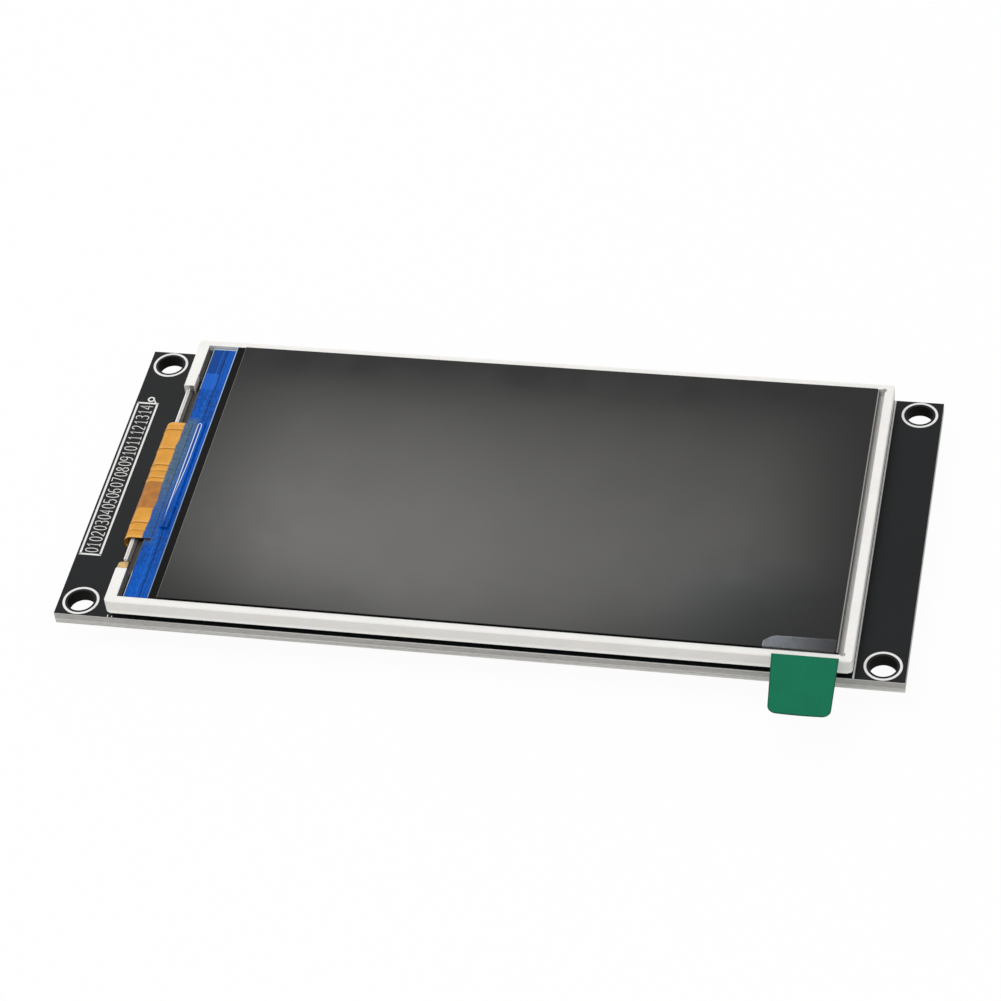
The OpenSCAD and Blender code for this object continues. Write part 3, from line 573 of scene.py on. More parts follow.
def coat_finish():
    """Blue sealing coat: two blues, creases off the chip painted as lines of shade and highlight, a grey-blue
    skin beside the tail, and the chip's pale edges with a short cross line near its rear end, all painted
    highlights, which draw closer together towards the front and fade there."""
    own = looks("panel")
    low, high = limits("ledge_coat")
    chip_low, chip_high = limits("driver_chip")
    f = Finish("blue_sealing_coat", Specular_IOR_Level=0.06)
    x, y = f.axes()[:2]
    mid = (chip_low[0] + chip_high[0]) / 2
    bent = f.sum("MULTIPLY_ADD", f.noise(0.22, 2, 0.5, (0.2, 1, 1)), 0.5, f.sum("SUBTRACT", x, 0.25))
    outer_half = f.step(bent, mid - 0.08, mid + 0.08, 1.0, 0.0)
    fine = f.noise(2.4, 4, 0.65, (1.6, 0.7, 1))
    base = f.shade(own.coat, fine, 0.22)
    rear_dark = f.sum("MULTIPLY", f.band(y, 17.3, high[1] + 1, 0.15), outer_half)
    base = f.mix(f.sum("MULTIPLY", rear_dark, 0.8), base, own.coat_dark)
    bright = f.sum("MULTIPLY", f.band(y, 14.4, 17.0, 0.3), outer_half)
    base = f.mix(f.sum("MULTIPLY", bright, 0.6), base, tone("2068d2"))
    worked = f.sum("MAXIMUM", f.band(y, 8.6, 13.6, 1.2), f.band(y, -15.5, -6.5, 2.0))
    cells = f.step(f.cells(1.5, (1.3, 1.0, 0.0))["Distance"], 0.42, 0.62)
    weave = f.sum("MAXIMUM", cells, f.step(f.noise(1.4, 3, 0.6, (1, 2.6, 1)), 0.52, 0.64))
    base = f.mix(f.sum("MULTIPLY", f.sum("MULTIPLY", weave, worked), 0.6), base, own.coat_dark)
    off_chip = f.sum("SUBTRACT", 1.0, f.band(y, chip_low[1] + 1.5, chip_high[1] + 0.3, 1.2))
    # painted shade and highlight: lines that stand for creases in the coat
    for place, wide, code, strength in COAT_CREASE_SHADING:
        crease = f.band(bent, mid + place - wide, mid + place + wide, 0.06)
        base = f.mix(f.sum("MULTIPLY", f.sum("MULTIPLY", crease, strength), off_chip), base, tone(code))
    left_rim = f.band(x, low[0] - 1, low[0] + 0.06, 0.06)
    right_rim = f.band(x, high[0] - 0.06, high[0] + 1, 0.05)
    base = f.mix(f.sum("MULTIPLY", f.sum("MAXIMUM", left_rim, right_rim), 0.6), base, tone("06306e"))
    left = chip_low[0] + 0.08
    skin = f.sum("MULTIPLY", f.band(bent, low[0] - 2, left - 0.35, 0.4), f.band(y, -2.0, 8.4, 1.0))
    ahead = f.sum("MULTIPLY", f.band(bent, low[0] - 2, left - 0.5, 0.4), f.band(y, -12.5, -1.0, 1.0))
    skin = f.sum("MAXIMUM", skin, ahead)
    skin = f.sum("MULTIPLY", skin, f.step(y, -11.0, 0.0, 0.35, 1.0))
    base = f.mix(f.sum("MULTIPLY", skin, 0.85), base, f.shade(tone("4d6d90"), f.noise(2.6, 3), 0.28))
    # painted highlights: pale lines along the chip's edges under the coat, with a short cross line near its
    # rear end
    apart = f.sum("SUBTRACT", x, left)
    gap = f.step(y, -6.5, 2.0, 0.14, 0.42)
    away = f.sum("SUBTRACT", apart, gap)
    inner = f.sum("MULTIPLY", f.band(away, -0.02, 0.03, 0.05), f.step(y, -6.0, -1.5))
    outer = f.sum("MULTIPLY", f.band(apart, -0.03, 0.03, 0.05), f.step(y, -9.8, -5.0))
    rear = chip_high[1]
    bend_highlight = f.sum("MULTIPLY", f.band(y, rear - 0.22, rear - 0.12, 0.06), f.band(apart, 0.12, 0.3, 0.08))
    pale = f.sum("MAXIMUM", f.sum("MAXIMUM", inner, outer), bend_highlight)
    corner = f.sum("MULTIPLY_ADD", f.sum("ABSOLUTE", f.sum("SUBTRACT", apart, 0.21)), 1.2, y)
    pale = f.sum("MULTIPLY", pale, f.step(corner, chip_high[1] + 0.05, chip_high[1] - 0.05))
    well = f.sum("MULTIPLY", f.band(apart, 0.04, 0.38, 0.06), f.band(y, -5.0, chip_high[1] - 0.2, 0.6))
    base = f.mix(f.sum("MULTIPLY", well, 0.6), base, tone("0b3a80"))
    f.colour(f.mix(pale, base, tone("e6edfa")))
    f.roughness(f.step(fine, 0.3, 0.7, 0.2, 0.32))
    f.bump(f.noise(1.6, 3), 0.02)
    f.bump(f.sum("MULTIPLY", weave, worked), 0.015)
    return f


def tape_rim_finish():
    """Dark tape and optical films seen at the glass edge; the tape is painted near black beside the legs as
    shade, and painted grey towards the far end as a shaded copy of the white shelf there.
    """
    f = Finish("rim_tape_black", Specular_IOR_Level=0.25)
    x, y = f.axes()[:2]
    end = limits("rim_tape")[1][0]
    # painted shade: the tape is near black beside the legs
    base = f.mix(beyond_sill(f, y), f.shade(tone("3d3a36"), f.noise(1.4, 4), 0.35), tone("0d0c0b"))
    # painted shade: grey towards the far end, a shaded copy of the white shelf
    far = f.step(x, end - 1.2, end - 0.6)
    f.colour(f.mix(far, base, f.shade(tone("8b8a88"), f.noise(1.6, 3, 0.6, (1, 0.25, 1)), 0.25)))
    f.roughness(0.5)
    f.bump(f.noise(6.0, 3), 0.02)
    return f


def amber_finish():
    """Amber polyimide: ridges across the tail with painted shade on one side and a painted highlight on the
    other, a browner copper area, pale bands painted as highlights at both ends, the coat's grey-blue skin
    where it reaches the glass, and painted shade on faces that look down or to the front."""
    own = looks("flex")
    f = Finish("amber_flex", Specular_IOR_Level=0.14)
    x, y, z = f.axes()
    low, high = limits("display_tail")
    glass = limits("tft_glass")[0][0]
    base = f.shade(own.amber, f.noise(0.5, 3), 0.1)
    copper = f.band(y, -6.9, -2.5, 0.12)
    base = f.mix(copper, base, f.shade(own.amber_dark, f.noise(1.2, 3), 0.16))
    for place, strength in TAIL_RIDGES:
        # painted shade and highlight beside each ridge
        dark = f.sum("MULTIPLY", f.band(y, place - 0.06, place + 0.02, 0.12), strength)
        base = f.mix(dark, base, tone("9c5f1b"))
        light = f.sum("MULTIPLY", f.band(y, place + 0.2, place + 0.3, 0.12), strength * 0.6)
        base = f.mix(light, base, tone("f6c472"))
    # painted highlights: pale bands at both ends of the tail
    rear_end_highlight = f.band(y, high[1] - 0.35, high[1] + 1, 0.12)
    front_end_highlight = f.band(y, low[1] - 1, low[1] + 0.7, 0.12)
    base = f.mix(f.sum("MULTIPLY", f.sum("MAXIMUM", rear_end_highlight, front_end_highlight), 0.5), base, tone("f4bd66"))
    ragged = f.sum("MULTIPLY_ADD", f.noise(0.3, 2, 0.5, (0.2, 1, 1)), 0.7, f.sum("SUBTRACT", x, 0.35))
    above = f.sum("GREATER_THAN", z, (low[2] + high[2]) / 2)
    coated = f.sum("MULTIPLY", f.step(ragged, glass - 0.3, glass - 0.12), above)
    skin = f.mix(f.step(y, -9.5, -1.0), tone("1b559c"), tone("46637f"))
    base = f.mix(coated, base, f.shade(skin, f.noise(2.6, 3), 0.25))
    normal = f.facing()
    # painted shade: faces that look down or to the front are dark brown
    shaded = f.sum("MAXIMUM", f.step(normal[2], -0.3, -0.6), f.step(normal[1], -0.6, -0.8))
    f.colour(f.mix(f.sum("MULTIPLY", shaded, 0.85), base, tone("4a2010")))
    f.roughness(f.step(f.noise(1.5, 3), 0.3, 0.7, 0.22, 0.34))
    f.bump(f.noise(1.1, 3), 0.02)
    return f


def green_finish():
    """Green polyester film with a fine grain and a darker cut rim."""
    own = looks("flex")
    f = Finish("green_film", Specular_IOR_Level=0.1)
    grain = f.noise(5.0, 4, 0.65)
    base = f.shade(own.green, f.noise(0.4, 3), 0.05)
    base = f.shade(base, grain, 0.07)
    rim = f.node("Attribute", attribute_name="rim")
    base = f.mix(f.step(rim.outputs["Fac"], 0.0, 0.2, 0.8, 0.0), base, tone("083f30"))
    f.colour(base)
    f.roughness(0.5)
    f.bump(grain, 0.015)
    return f


def strip_finish():
    """Clear strip: a milky veil over the dark film that thins to the right, with pale cut edges."""
    low, high = limits("tab_strip")
    f = Finish("clear_strip", Specular_IOR_Level=0.2, Roughness=0.2)
    x, y = f.axes()[:2]
    veil = f.shade(tone("a6abb3"), f.noise(0.9, 3), 0.12)
    edge = f.band(y, high[1] - 0.12, high[1] + 1, 0.06)
    side = f.band(x, low[0] - STRIP_OVER - 1, low[0] - STRIP_OVER + 0.12, 0.08)
    film = limits("protective_film")[0][1]
    over_rail = f.step(y, film + 0.05, film - 0.05)
    pale = f.mix(f.sum("MULTIPLY", f.sum("MAXIMUM", edge, side), 0.7), veil, tone("d0d3d8"))
    f.colour(f.mix(over_rail, pale, tone("fbf9f5")))
    across = f.step(x, low[0] - STRIP_OVER, high[0], 0.5, 0.1)
    f.put(f.skin.inputs["Alpha"], f.mix_value(over_rail, across, 0.02))
    return f


def plain(name, code, spread=0.08, scale=2.0, rough=0.5, rise=0.01, **sockets):
    """One colour with soft mottling and grain: the base of the small moulded and film pieces."""
    f = Finish(name, **sockets)
    f.colour(f.shade(tone(code), f.noise(scale, 4), spread))
    f.roughness(f.step(f.noise(scale * 2, 3), 0.3, 0.7, rough * 0.85, rough * 1.15))
    f.bump(f.noise(scale * 4, 3), rise)
    return f


def lamp_flex_finish():
    """Lamp strip: speckled amber where its tail comes out, dark where it runs under the tape."""
    f = Finish("lamp_flex", Specular_IOR_Level=0.2)
    x = f.axes()[0]
    amber = f.shade(tone("d9b57a"), f.noise(4.0, 4), 0.3)
    f.colour(f.mix(f.step(x, -42.7, -42.5), amber, f.shade(tone("171513"), f.noise(2.0, 3), 0.2)))
    f.roughness(f.step(f.noise(3.0, 3), 0.3, 0.7, 0.4, 0.6))
    f.bump(f.noise(6.0, 3), 0.015)
    return f


def tinned_finish():
    """Bright tin with a frosted skin."""
    f = Finish("tinned_metal", Metallic=1.0)
    f.colour(f.shade(tone("cfd0d0"), f.noise(3.0, 4), 0.12))
    f.roughness(f.step(f.noise(5.0, 3), 0.3, 0.7, 0.22, 0.42))
    f.bump(f.noise(4.0, 3), 0.015)
    return f


# ---------- printed marks ----------

# Strokes of each figure on a cell 0.6 wide and 1 high, as corner points.
FIGURES = {
    "0": [[(0.3, 1), (0.5, 0.9), (0.6, 0.6), (0.6, 0.4), (0.5, 0.1), (0.3, 0), (0.1, 0.1), (0, 0.4), (0, 0.6),
           (0.1, 0.9), (0.3, 1)]],
    "1": [[(0.1, 0.78), (0.34, 1), (0.34, 0)], [(0.1, 0), (0.56, 0)]],
    "2": [[(0.02, 0.78), (0.12, 0.95), (0.3, 1), (0.5, 0.94), (0.58, 0.74), (0.5, 0.52), (0.02, 0),
           (0.6, 0)]],
    "3": [[(0.02, 0.92), (0.2, 1), (0.44, 1), (0.57, 0.86), (0.56, 0.66), (0.42, 0.54), (0.22, 0.53)],
          [(0.42, 0.54), (0.6, 0.38), (0.6, 0.14), (0.44, 0), (0.18, 0), (0, 0.1)]],
    "4": [[(0.46, 0), (0.46, 1), (0, 0.3), (0.6, 0.3)]],
    "5": [[(0.55, 1), (0.08, 1), (0.04, 0.56), (0.3, 0.62), (0.52, 0.54), (0.6, 0.32), (0.5, 0.08), (0.28, 0),
           (0.02, 0.1)]],
    "6": [[(0.5, 0.96), (0.3, 1), (0.1, 0.85), (0, 0.5), (0, 0.25), (0.12, 0.04), (0.3, 0), (0.5, 0.06),
           (0.6, 0.28), (0.5, 0.5), (0.3, 0.57), (0.08, 0.48), (0, 0.28)]],
    "7": [[(0, 1), (0.6, 1), (0.24, 0)]],
    "8": [[(0.3, 0.55), (0.08, 0.7), (0.08, 0.88), (0.3, 1), (0.52, 0.88), (0.52, 0.7), (0.3, 0.55),
           (0, 0.36), (0, 0.14), (0.3, 0), (0.6, 0.14), (0.6, 0.36), (0.3, 0.55)]],
    "9": [[(0.1, 0.04), (0.3, 0), (0.5, 0.15), (0.6, 0.5), (0.6, 0.75), (0.48, 0.96), (0.3, 1), (0.1, 0.94),
           (0, 0.72), (0.1, 0.5), (0.3, 0.43), (0.52, 0.52), (0.6, 0.72)]],
}


def figure(digit, x, y, tall, wide, pen, low, high):
    """One figure that stands towards -X and reads along +Y, its lower corner at (x, y)."""
    return [
        ribbon([(x - py * tall, y + px / 0.6 * wide) for px, py in stroke], pen, low, high)
        for stroke in FIGURES[digit]
    ]


def module_print():
    """Every mark on the board's face: four rings, the number box, a pin mark, a line beside the rail and
    two ticks at the frame's corner."""
    own = looks("board")
    low, high = limits("circuit_board")
    rail = limits("backlight_frame")[1][0]
    base, top = high[2] - 0.004, high[2] + own.ink_rise / MM
    pen = own.line / MM
    record_mount = next(m for m in frame["record"]["mounts"] if m["name"] == "mounting_holes")["dims"]
    hole_x, hole_y = record_mount["spacing_x_mm"] / 2, record_mount["spacing_y_mm"] / 2
    ring = own.ring / MM / 2
    skins = [
        flat_ring(sx * hole_x, sy * hole_y, ring - pen, ring, base, top) for sx in (-1, 1) for sy in (-1, 1)
    ]
    x0 = low[0] + 0.4
    x1 = x0 + own.label_width / MM
    y0 = -own.label_length / MM / 2 + 0.17
    y1 = y0 + own.label_length / MM
    thin = pen * 0.85
    skins += [
        ribbon([(x0, y0), (x0, y1)], thin, base, top),
        ribbon([(x1, y0), (x1, y1)], thin, base, top),
        ribbon([(x0 - thin / 2, y0), (x1 + thin / 2, y0)], thin, base, top),
        ribbon([(x0 - thin / 2, y1), (x1 + thin / 2, y1)], thin, base, top),
    ]
    cell = (y1 - y0 - 0.5) / own.numbers
    margin, first, figure_pen = 0.45, 0.42, 0.1
    for i in range(own.numbers):
        for k, digit in enumerate(f"{i + 1:02d}"):
            y = y0 + first + (i + 0.47 * k) * cell
            skins += figure(digit, x1 - margin, y, x1 - x0 - 2 * margin, cell * 0.33, figure_pen, base, top)
    skins.append(flat_ring(x0 + 1.5, y1 + 0.72, 0.26, 0.46, base, top, 28))
    skins.append(ribbon([(x0 + 1.98, y1 + 0.55), (x0 + 2.2, y1 + 0.15)], 0.18, base, top))
    skins += [
        ribbon([(rail + 0.06, low[1] + 0.05), (rail + 0.06, high[1] - 0.05)], 0.2, base, top),
        ribbon([(-43.4, low[1] + 0.04), (-43.45, low[1] + 0.42)], 0.12, base, top),
        ribbon([(-42.9, low[1] + 0.04), (-42.95, low[1] + 0.3)], 0.12, base, top),
    ]
    return together(skins)


# ---------- folded tail and pull tab ----------

# Where ridges cross the tail, in millimetres along Y, and how strongly each shows, in its relief and in its
# painted shade and highlight.
TAIL_RIDGES = ((6.7, 0.7), (3.3, 0.75), (0.4, 0.8), (-0.6, 0.45), (-1.8, 0.6), (-9.5, 0.75), (-10.8, 0.35))


def tail_skin():
    """Folded tail. Along its path it is a flat run, a half circle round the frame's end and a flat run
    back; across it, each ridge lifts the outer face by relief * exp(-((y - place) / 0.16)^2), and the
    whole face swells by a slow sine, both only where the sheet is free."""
    own = looks("flex")
    low, high = limits("display_tail")
    thick, bond = 0.12, 0.8
    radius = (high[2] - low[2] - thick) / 2
    zc = (high[2] + low[2]) / 2
    xc = low[0] + radius + thick / 2
    x_top = limits("tft_glass")[0][0] + bond
    turn = np.linspace(math.pi / 2, 3 * math.pi / 2, 33)
    top_x = np.linspace(x_top, xc, 12)[:-1]
    low_x = np.linspace(xc, high[0], 10)[1:]
    path = np.concatenate([
        np.stack([top_x, np.full_like(top_x, zc + radius)], -1),
        np.stack([xc + radius * np.cos(turn), zc + radius * np.sin(turn)], -1),
        np.stack([low_x, np.full_like(low_x, zc - radius)], -1),
    ])
    normal = np.concatenate([
        np.tile([0.0, 1.0], (len(top_x), 1)), np.stack([np.cos(turn), np.sin(turn)], -1),
        np.tile([0.0, -1.0], (len(low_x), 1)),
    ])
    y = np.linspace(low[1] + 0.4, high[1], 260)
    lift = sum(s * own.relief / MM * np.exp(-(((y - p) / 0.16) ** 2)) for p, s in TAIL_RIDGES)
    lift = lift + 0.012 * np.sin(y * 1.9) + 0.012
    glass_x = limits("tft_glass")[0][0]
    free = np.where(normal[:, 1] >= 0, np.clip((glass_x - path[:, 0]) / 0.8, 0, 1), 1.0)
    free = free * np.clip(1 + 1.4 * normal[:, 1], 0, 1)
    rise = free[:, None] * lift[None]
    rise *= np.clip(np.minimum(y - y[0], y[-1] - y) / 0.3, 0, 1)[None]

    def grid(offset):
        shift = offset + rise
        x = path[:, :1] + normal[:, :1] * shift
        z = path[:, 1:] + normal[:, 1:] * shift
        return np.stack([x, np.broadcast_to(y, shift.shape), z], -1)

    return slab(grid(thick / 2), grid(-thick / 2))


def tab_skin():
    """Pull tab. Along its length the half width goes evenly from root to tip, and near the free end it
    loses r - sqrt(r^2 - d^2), which rounds both corners; the sheet droops and curls with the square of
    the length. Returns the skin and each point's distance from the rim."""
    own = looks("flex")
    low, high = limits("pull_tab")
    thick, corner, droop = 0.1, 1.0, math.tan(math.radians(4))
    root_w, tip_w = high[0] - low[0], high[0] - low[0] - 0.6
    length = high[1] - low[1]
    base = high[2] - thick
    s = np.concatenate([np.linspace(0, 1, 40)[:-1] * (length - corner), length - corner + corner * np.sin(
        np.linspace(0, math.pi / 2, 16))])[:, None]
    w = np.linspace(-1, 1, 41)[None]
    past = np.clip(s - (length - corner), 0, corner)
    lost = corner - np.sqrt(np.clip(corner**2 - past**2, 0, None))
    left = high[0] - (root_w + (tip_w - root_w) * s / length) + lost
    right = high[0] - lost
    x = (left + right) / 2 + (right - left) / 2 * w
    y = high[1] - s + 0 * w
    z = base - droop * s + own.curl / MM * ((s / length) ** 2) * (0.4 + 0.6 * w**2)
    z = np.maximum(z, low[2])
    rim = np.minimum(np.minimum(x - left, right - x), length - s + 0.2 * (s < 0.01)) + 0 * x
    top = np.stack([x, y, z + thick], -1)
    bottom = np.stack([x, y, z], -1)
    return slab(top, bottom), np.concatenate([rim.ravel(), rim.ravel()])


# How far the clear strip reaches past the tab's far side, in millimetres.
STRIP_OVER = 1.2


def strip_skin():
    """Clear strip: straight along the rail; its rear edge falls as the square of the way left in the last
    part before the free end, which rounds that corner, and falls by up to 0.1 mm more, as the square, along
    its whole length towards that end."""
    low, high = limits("tab_strip")
    root = limits("pull_tab")[1][1]
    base = limits("protective_film")[1][2]
    u = np.linspace(0, 1, 60)[None]
    v = np.linspace(0, 1, 16)[:, None]
    x = low[0] - STRIP_OVER + (high[0] - low[0] + STRIP_OVER - 0.3) * u
    left = np.clip(1 - (x - x.min()) / 1.6, 0, 1)
    rear = high[1] - 0.9 * left**2 - 0.1 * (1 - u) ** 2
    y = root + (rear - root) * v
    top = np.stack([x + 0 * y, y, base + 0.05 + 0 * y], -1)
    bottom = top.copy()
    bottom[..., 2] = base
    return slab(top, bottom)


# ---------- operators ----------


class ModuleOperator(bpy.types.Operator):
    """Common settings of the module's operators."""

    bl_options = {"REGISTER", "UNDO"}


class MODULE_OT_stage(ModuleOperator):
    """Pale floor, even light, one large lamp overhead, a soft card behind and the camera"""

    bl_idname = "module.stage"
    bl_label = "Studio"

    def execute(self, context):
        own = looks("studio")
        scene = context.scene
        scene.view_settings.view_transform = "Standard"
        self.camera(scene, own)
        self.world(scene, own)
        self.floor(scene)
        self.lamp(scene, own)
        self.card(scene, own)
        return {"FINISHED"}

    def camera(self, scene, own):
        lens = bpy.data.cameras.new("camera")
        lens.lens = own.lens
        lens.clip_start = 0.01
        view = bpy.data.objects.new("camera", lens)
        scene.collection.objects.link(view)
        scene.camera = view
        aim = Vector((-0.74, 0.58, 2)) * MM
        a, e, r = own.azimuth, own.elevation, own.roll
        ahead = Vector((-math.sin(a) * math.cos(e), math.cos(a) * math.cos(e), -math.sin(e)))
        right = Vector((math.cos(a), math.sin(a), 0))
        up = right.cross(ahead)
        right, up = right * math.cos(r) + up * math.sin(r), up * math.cos(r) - right * math.sin(r)
        turn = Matrix((right, up, -ahead)).transposed()
        view.matrix_world = Matrix.Translation(aim - ahead * own.distance) @ turn.to_4x4()

    def world(self, scene, own):
        """Even white light; what the camera, gloss and glass see of it is plain white."""
        world = bpy.data.worlds.new("studio")
        scene.world = world
        world.use_nodes = True
        tree = world.node_tree
        tree.nodes.clear()
        out = tree.nodes.new("ShaderNodeOutputWorld")
        sky = tree.nodes.new("ShaderNodeBackground")
        path = tree.nodes.new("ShaderNodeLightPath")
        seen = tree.nodes.new("ShaderNodeMath")
        seen.operation = "MAXIMUM"
        also = tree.nodes.new("ShaderNodeMath")
        also.operation = "MAXIMUM"
        level = tree.nodes.new("ShaderNodeMapRange")
        level.inputs["To Min"].default_value = own.fill
        level.inputs["To Max"].default_value = 1.0
        tree.links.new(path.outputs["Is Camera Ray"], seen.inputs[0])
        tree.links.new(path.outputs["Is Glossy Ray"], seen.inputs[1])
        tree.links.new(seen.outputs[0], also.inputs[0])
        tree.links.new(path.outputs["Is Transmission Ray"], also.inputs[1])
        tree.links.new(also.outputs[0], level.inputs["Value"])
        tree.links.new(level.outputs[0], sky.inputs["Strength"])
        sky.inputs["Color"].default_value = (1, 1, 1, 1)
        tree.links.new(sky.outputs[0], out.inputs["Surface"])

    def floor(self, scene):
        """A large plain disc just under the lowest part, white to the eye, that keeps a soft shadow."""
        low = CAD_BOX[0]
        turn = np.linspace(0, 2 * math.pi, 96, endpoint=False)
        rings = np.array([0.0001, 0.2, 0.8, 3.0])
        x, y = np.outer(rings, np.cos(turn)), np.outer(rings, np.sin(turn))
        points = np.stack([x, y, np.full_like(x, low.z - 0.0001)], -1).reshape(-1, 3)
        index = np.arange(len(points)).reshape(x.shape)
        ahead = np.roll(index, -1, 1)
        faces = np.stack([index[:-1], index[1:], ahead[1:], ahead[:-1]], -1).reshape(-1, 4)
        mesh = bpy.data.meshes.new("floor")
        mesh.from_pydata(points.tolist(), [], faces.tolist())
        sheet = bpy.data.objects.new("floor", mesh)
        scene.collection.objects.link(sheet)
        material = bpy.data.materials.new("studio_floor")
        material.use_nodes = True
        tree = material.node_tree
        tree.nodes.clear()
        out = tree.nodes.new("ShaderNodeOutputMaterial")
        paper = tree.nodes.new("ShaderNodeBsdfDiffuse")
        paper.inputs["Color"].default_value = (0.96, 0.96, 0.96, 1)
        glow = tree.nodes.new("ShaderNodeEmission")
        glow.inputs["Strength"].default_value = 1.0
        path = tree.nodes.new("ShaderNodeLightPath")
        seen = tree.nodes.new("ShaderNodeMath")
        seen.operation = "MAXIMUM"
        share = tree.nodes.new("ShaderNodeMath")
        share.operation = "MULTIPLY"
        share.inputs[1].default_value = 0.96
        blend = tree.nodes.new("ShaderNodeMixShader")
        tree.links.new(path.outputs["Is Camera Ray"], seen.inputs[0])
        tree.links.new(path.outputs["Is Transmission Ray"], seen.inputs[1])
        tree.links.new(seen.outputs[0], share.inputs[0])
        tree.links.new(share.outputs[0], blend.inputs[0])
        tree.links.new(paper.outputs[0], blend.inputs[1])
        tree.links.new(glow.outputs[0], blend.inputs[2])
        tree.links.new(blend.outputs[0], out.inputs["Surface"])
        mesh.materials.append(material)

    def lamp(self, scene, own):
        light = bpy.data.lights.new("key", "AREA")
        light.shape = "DISK"
        light.size = 0.45
        light.energy = own.key
        lamp = bpy.data.objects.new("key", light)
        scene.collection.objects.link(lamp)
        spot = Vector((-0.16, -0.02, 0.6))
        lamp.matrix_world = Matrix.Translation(spot) @ spot.to_track_quat("Z", "Y").to_matrix().to_4x4()
        lamp.visible_camera = False

    def card(self, scene, own):
        """A level soft card that only gloss sees. The camera's mirror image in the level screen maps
        screen points to card points by one scale about the camera, so the card's light is written
        in screen millimetres: ramps that rise from the back and the left and fall to the front and right."""
        eye = scene.camera.matrix_world.translation
        level = limits("protective_film")[1][2] * MM
        height = 0.24
        scale = (eye.z - level + height - level) / (eye.z - level)
        side = np.array([-60.0, 60.0]) * MM
        x = eye.x + (side - eye.x) * scale
        y = eye.y + (side * 0.6 - eye.y) * scale
        points = [(x[0], y[0], height), (x[0], y[1], height), (x[1], y[1], height), (x[1], y[0], height)]
        mesh = bpy.data.meshes.new("soft_card")
        mesh.from_pydata(points, [], [(0, 1, 2, 3)])
        card = bpy.data.objects.new("soft_card", mesh)
        scene.collection.objects.link(card)
        card.visible_camera = False
        card.visible_diffuse = False
        card.visible_shadow = False
        card.visible_transmission = False
        f = Finish("soft_card")
        f.tree.nodes.remove(f.skin)
        where = f.node("SeparateXYZ")
        f.put(where.inputs[0], f.node("NewGeometry").outputs["Position"])
        sx = f.sum("MULTIPLY_ADD", f.sum("SUBTRACT", where.outputs[0], eye.x), 1 / (scale * MM), eye.x / MM)
        sy = f.sum("MULTIPLY_ADD", f.sum("SUBTRACT", where.outputs[1], eye.y), 1 / (scale * MM), eye.y / MM)
        back = f.sum("POWER", f.ramp(sy, 18.4, -8), 0.58)
        aside = f.sum("MULTIPLY_ADD", f.sum("ABSOLUTE", sx), 0.24, f.sum("MULTIPLY", sy, -1.0))
        front = f.step(aside, 36, 17)
        left = f.ramp(sx, -47, -26)
        right = f.sum("MULTIPLY", f.ramp(sx, 80, -9), f.step(sx, 47, 28))
        light = f.sum("MULTIPLY", f.sum("MULTIPLY", back, front), f.sum("MULTIPLY", left, right))
        corner = f.sum("MULTIPLY", f.step(sx, 20, 34), f.step(sy, -12.0, -13.0))
        light = f.sum("MULTIPLY", light, f.sum("MULTIPLY_ADD", corner, -0.55, 1.0))
        glow = f.node("Emission")
        cool = f.sum("MULTIPLY", f.step(sx, 16, 34), f.step(sy, -6, -16))
        f.put(glow.inputs["Color"], f.mix(cool, (1.0, 0.985, 0.95), (0.9, 0.97, 1.0)))
        f.put(glow.inputs["Strength"], own.card)
        blend = f.node("MixShader")
        f.put(blend.inputs[0], light)
        f.put(blend.inputs[1], f.node("BsdfTransparent").outputs[0])
        f.put(blend.inputs[2], glow.outputs[0])
        f.put(f.tree.nodes["Material Output"].inputs["Surface"], blend.outputs[0])
        mesh.materials.append(f.material)


class MODULE_OT_board(ModuleOperator):
    """Finish of the board and its foam tape"""

    bl_idname = "module.board"
    bl_label = "Board"

    def execute(self, context):
        dress(board_finish(), "circuit_board")
        dress(foam_finish(), "mounting_tape")
        return {"FINISHED"}


class MODULE_OT_print(ModuleOperator):
    """White printed marks on the board's face"""

    bl_idname = "module.board_print"
    bl_label = "Printed marks"

    def execute(self, context):
        build("board_print", module_print(), ink_finish().material, 20)
        return {"FINISHED"}


class MODULE_OT_frame(ModuleOperator):
    """Finish of the moulded backlight frame"""

    bl_idname = "module.backlight_frame"
    bl_label = "Moulded frame"

    def execute(self, context):
        dress(frame_finish(), "backlight_frame")
        return {"FINISHED"}


class MODULE_OT_panel(ModuleOperator):
    """Finishes of the glass, its films, the chip and the blue coat"""

    bl_idname = "module.glass_panel"
    bl_label = "Glass panel"

    def execute(self, context):
        screen = screen_finish()
        dress(screen, "protective_film", "front_polarizer")
        dress(border_finish(), "colour_filter_glass")
        dress(ledge_glass_finish(), "tft_glass")
        dress(coat_finish(), "ledge_coat")
        dress(plain("polarizer_grey", "232323", 0.1, 1.0, 0.25), "rear_polarizer")
        dress(plain("polished_silicon", "5c6068", 0.08, 2.0, 0.2, Metallic=0.4), "driver_chip")
        return {"FINISHED"}


class MODULE_OT_backlight(ModuleOperator):
    """Finishes of the light guide, its films, the lamps and the rim tape"""

    bl_idname = "module.backlight"
    bl_label = "Backlight"

    def execute(self, context):
        dress(tape_rim_finish(), "rim_tape")
        dress(plain("reflector_white", "f4f4f2", 0.03, 0.5, 0.3), "reflector_sheet")
        dress(plain("guide_acrylic", "d8e2e6", 0.04, 0.8, 0.15, Specular_IOR_Level=0.6), "light_guide")
        dress(plain("diffuser_white", "e6e6e4", 0.04, 2.0, 0.6), "diffuser_sheet")
        dress(plain("prism_film", "cfd6da", 0.06, 3.0, 0.35), "lower_prism_sheet", "upper_prism_sheet")
        dress(lamp_flex_finish(), "lamp_strip")
        dress(plain("lamp_phosphor", "efe6a8", 0.06, 3.0, 0.4), "backlight_lamps")
        return {"FINISHED"}


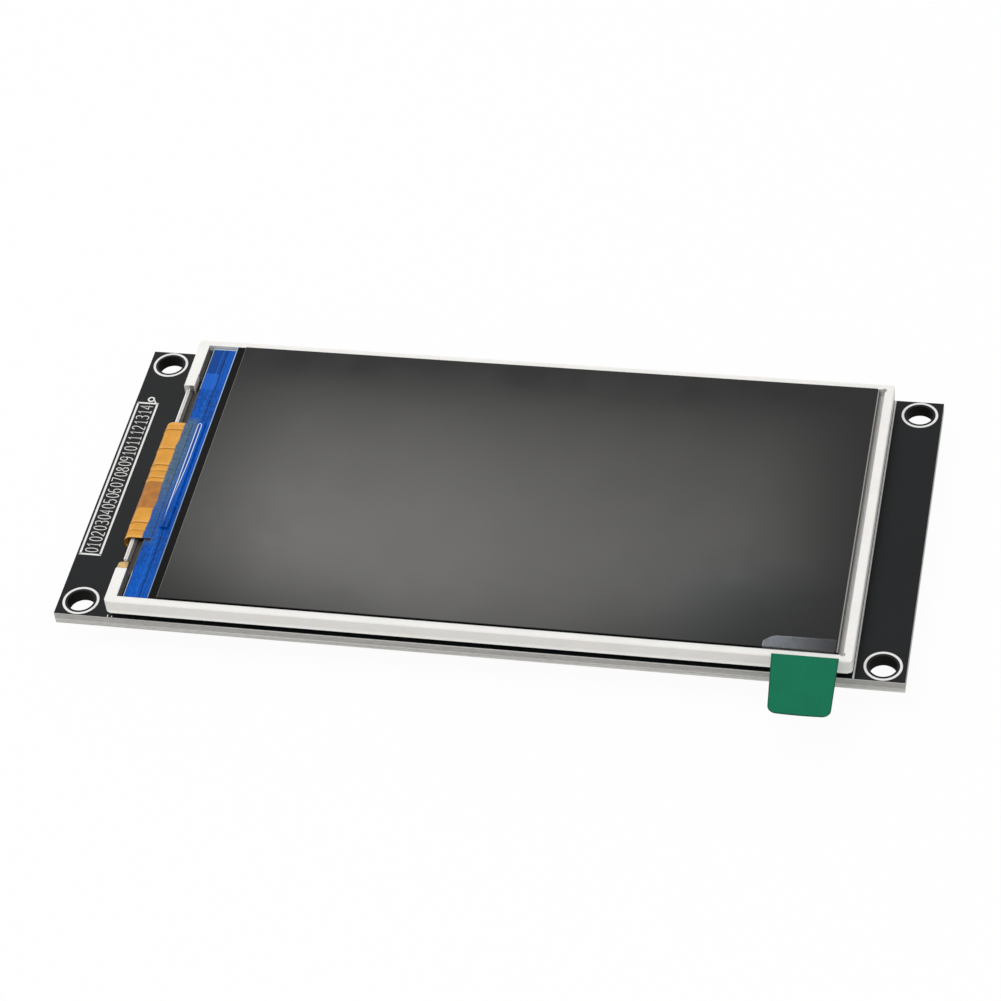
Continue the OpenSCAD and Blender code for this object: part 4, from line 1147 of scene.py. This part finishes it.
class MODULE_OT_tail(ModuleOperator):
    """Folded amber tail with its ridges, in place of the plain folded strip"""

    bl_idname = "module.folded_tail"
    bl_label = "Folded tail"

    def execute(self, context):
        piece = build("folded_tail", tail_skin(), amber_finish().material, 40)
        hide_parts("display_tail")
        dress(tinned_finish(), "tail_lands")
        return {"FINISHED"}


class MODULE_OT_tab(ModuleOperator):
    """Green pull tab with a soft curl, and the clear strip that carries it"""

    bl_idname = "module.pull_tab"
    bl_label = "Pull tab"

    def execute(self, context):
        skin, rim = tab_skin()
        piece = build("pull_tab_film", skin, green_finish().material, 40)
        note = piece.data.attributes.new("rim", "FLOAT", "POINT")
        note.data.foreach_set("value", rim.astype(np.float32))
        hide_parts("pull_tab")
        strip = build("clear_strip_film", strip_skin(), strip_finish().material, 40)
        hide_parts("tab_strip")
        return {"FINISHED"}


class MODULE_OT_underside(ModuleOperator):
    """Finishes of the ribbon socket and the small parts underneath"""

    bl_idname = "module.underside"
    bl_label = "Underside parts"

    def execute(self, context):
        dress(plain("socket_cream", "e6dfcf", 0.05, 1.5, 0.55), "ribbon_socket")
        dress(plain("spring_contact", "d9c489", 0.08, 4.0, 0.3, Metallic=1.0), "socket_contacts")
        tin = tinned_finish()
        dress(tin, "socket_anchors", "regulator_leads", "transistor_leads")
        dress(tin, "capacitor_terminals", "resistor_terminals")
        dress(plain("package_black", "1c1c1c", 0.15, 3.0, 0.6, 0.02), "regulator_body", "transistor_body")
        dress(plain("capacitor_ceramic", "a58a66", 0.1, 3.0, 0.6, 0.02), "chip_capacitors")
        dress(plain("resistor_coat", "17181a", 0.1, 3.0, 0.35, 0.01), "chip_resistors")
        return {"FINISHED"}


class MODULE_PT_sidebar(bpy.types.Panel):
    """Lists the module's operators and values"""

    bl_idname = "MODULE_PT_sidebar"
    bl_label = "Display module"
    bl_space_type = "VIEW_3D"
    bl_region_type = "UI"
    bl_category = "Display module"

    def draw(self, context):
        for step in STEPS:
            self.layout.operator(step.bl_idname, text=step.bl_label)
        for group in GROUPS:
            box = self.layout.box()
            values = looks(group)
            for key in values.bl_rna.properties.keys():
                if key not in ("rna_type", "name"):
                    box.prop(values, key)


STEPS = (
    MODULE_OT_stage,
    MODULE_OT_board,
    MODULE_OT_print,
    MODULE_OT_frame,
    MODULE_OT_backlight,
    MODULE_OT_panel,
    MODULE_OT_tail,
    MODULE_OT_tab,
    MODULE_OT_underside,
)


def register():
    for cls in (*GROUPS.values(), *STEPS, MODULE_PT_sidebar):
        bpy.utils.register_class(cls)
    for name, cls in GROUPS.items():
        setattr(bpy.types.Scene, "module_" + name, bpy.props.PointerProperty(type=cls))


def unregister():
    for name in GROUPS:
        delattr(bpy.types.Scene, "module_" + name)
    for cls in reversed((*GROUPS.values(), *STEPS, MODULE_PT_sidebar)):
        bpy.utils.unregister_class(cls)


def main():
    """Runs every step in order."""
    register()
    for step in STEPS:
        group, name = step.bl_idname.split(".")
        getattr(getattr(bpy.ops, group), name)()


if __name__ == "__main__":
    main()
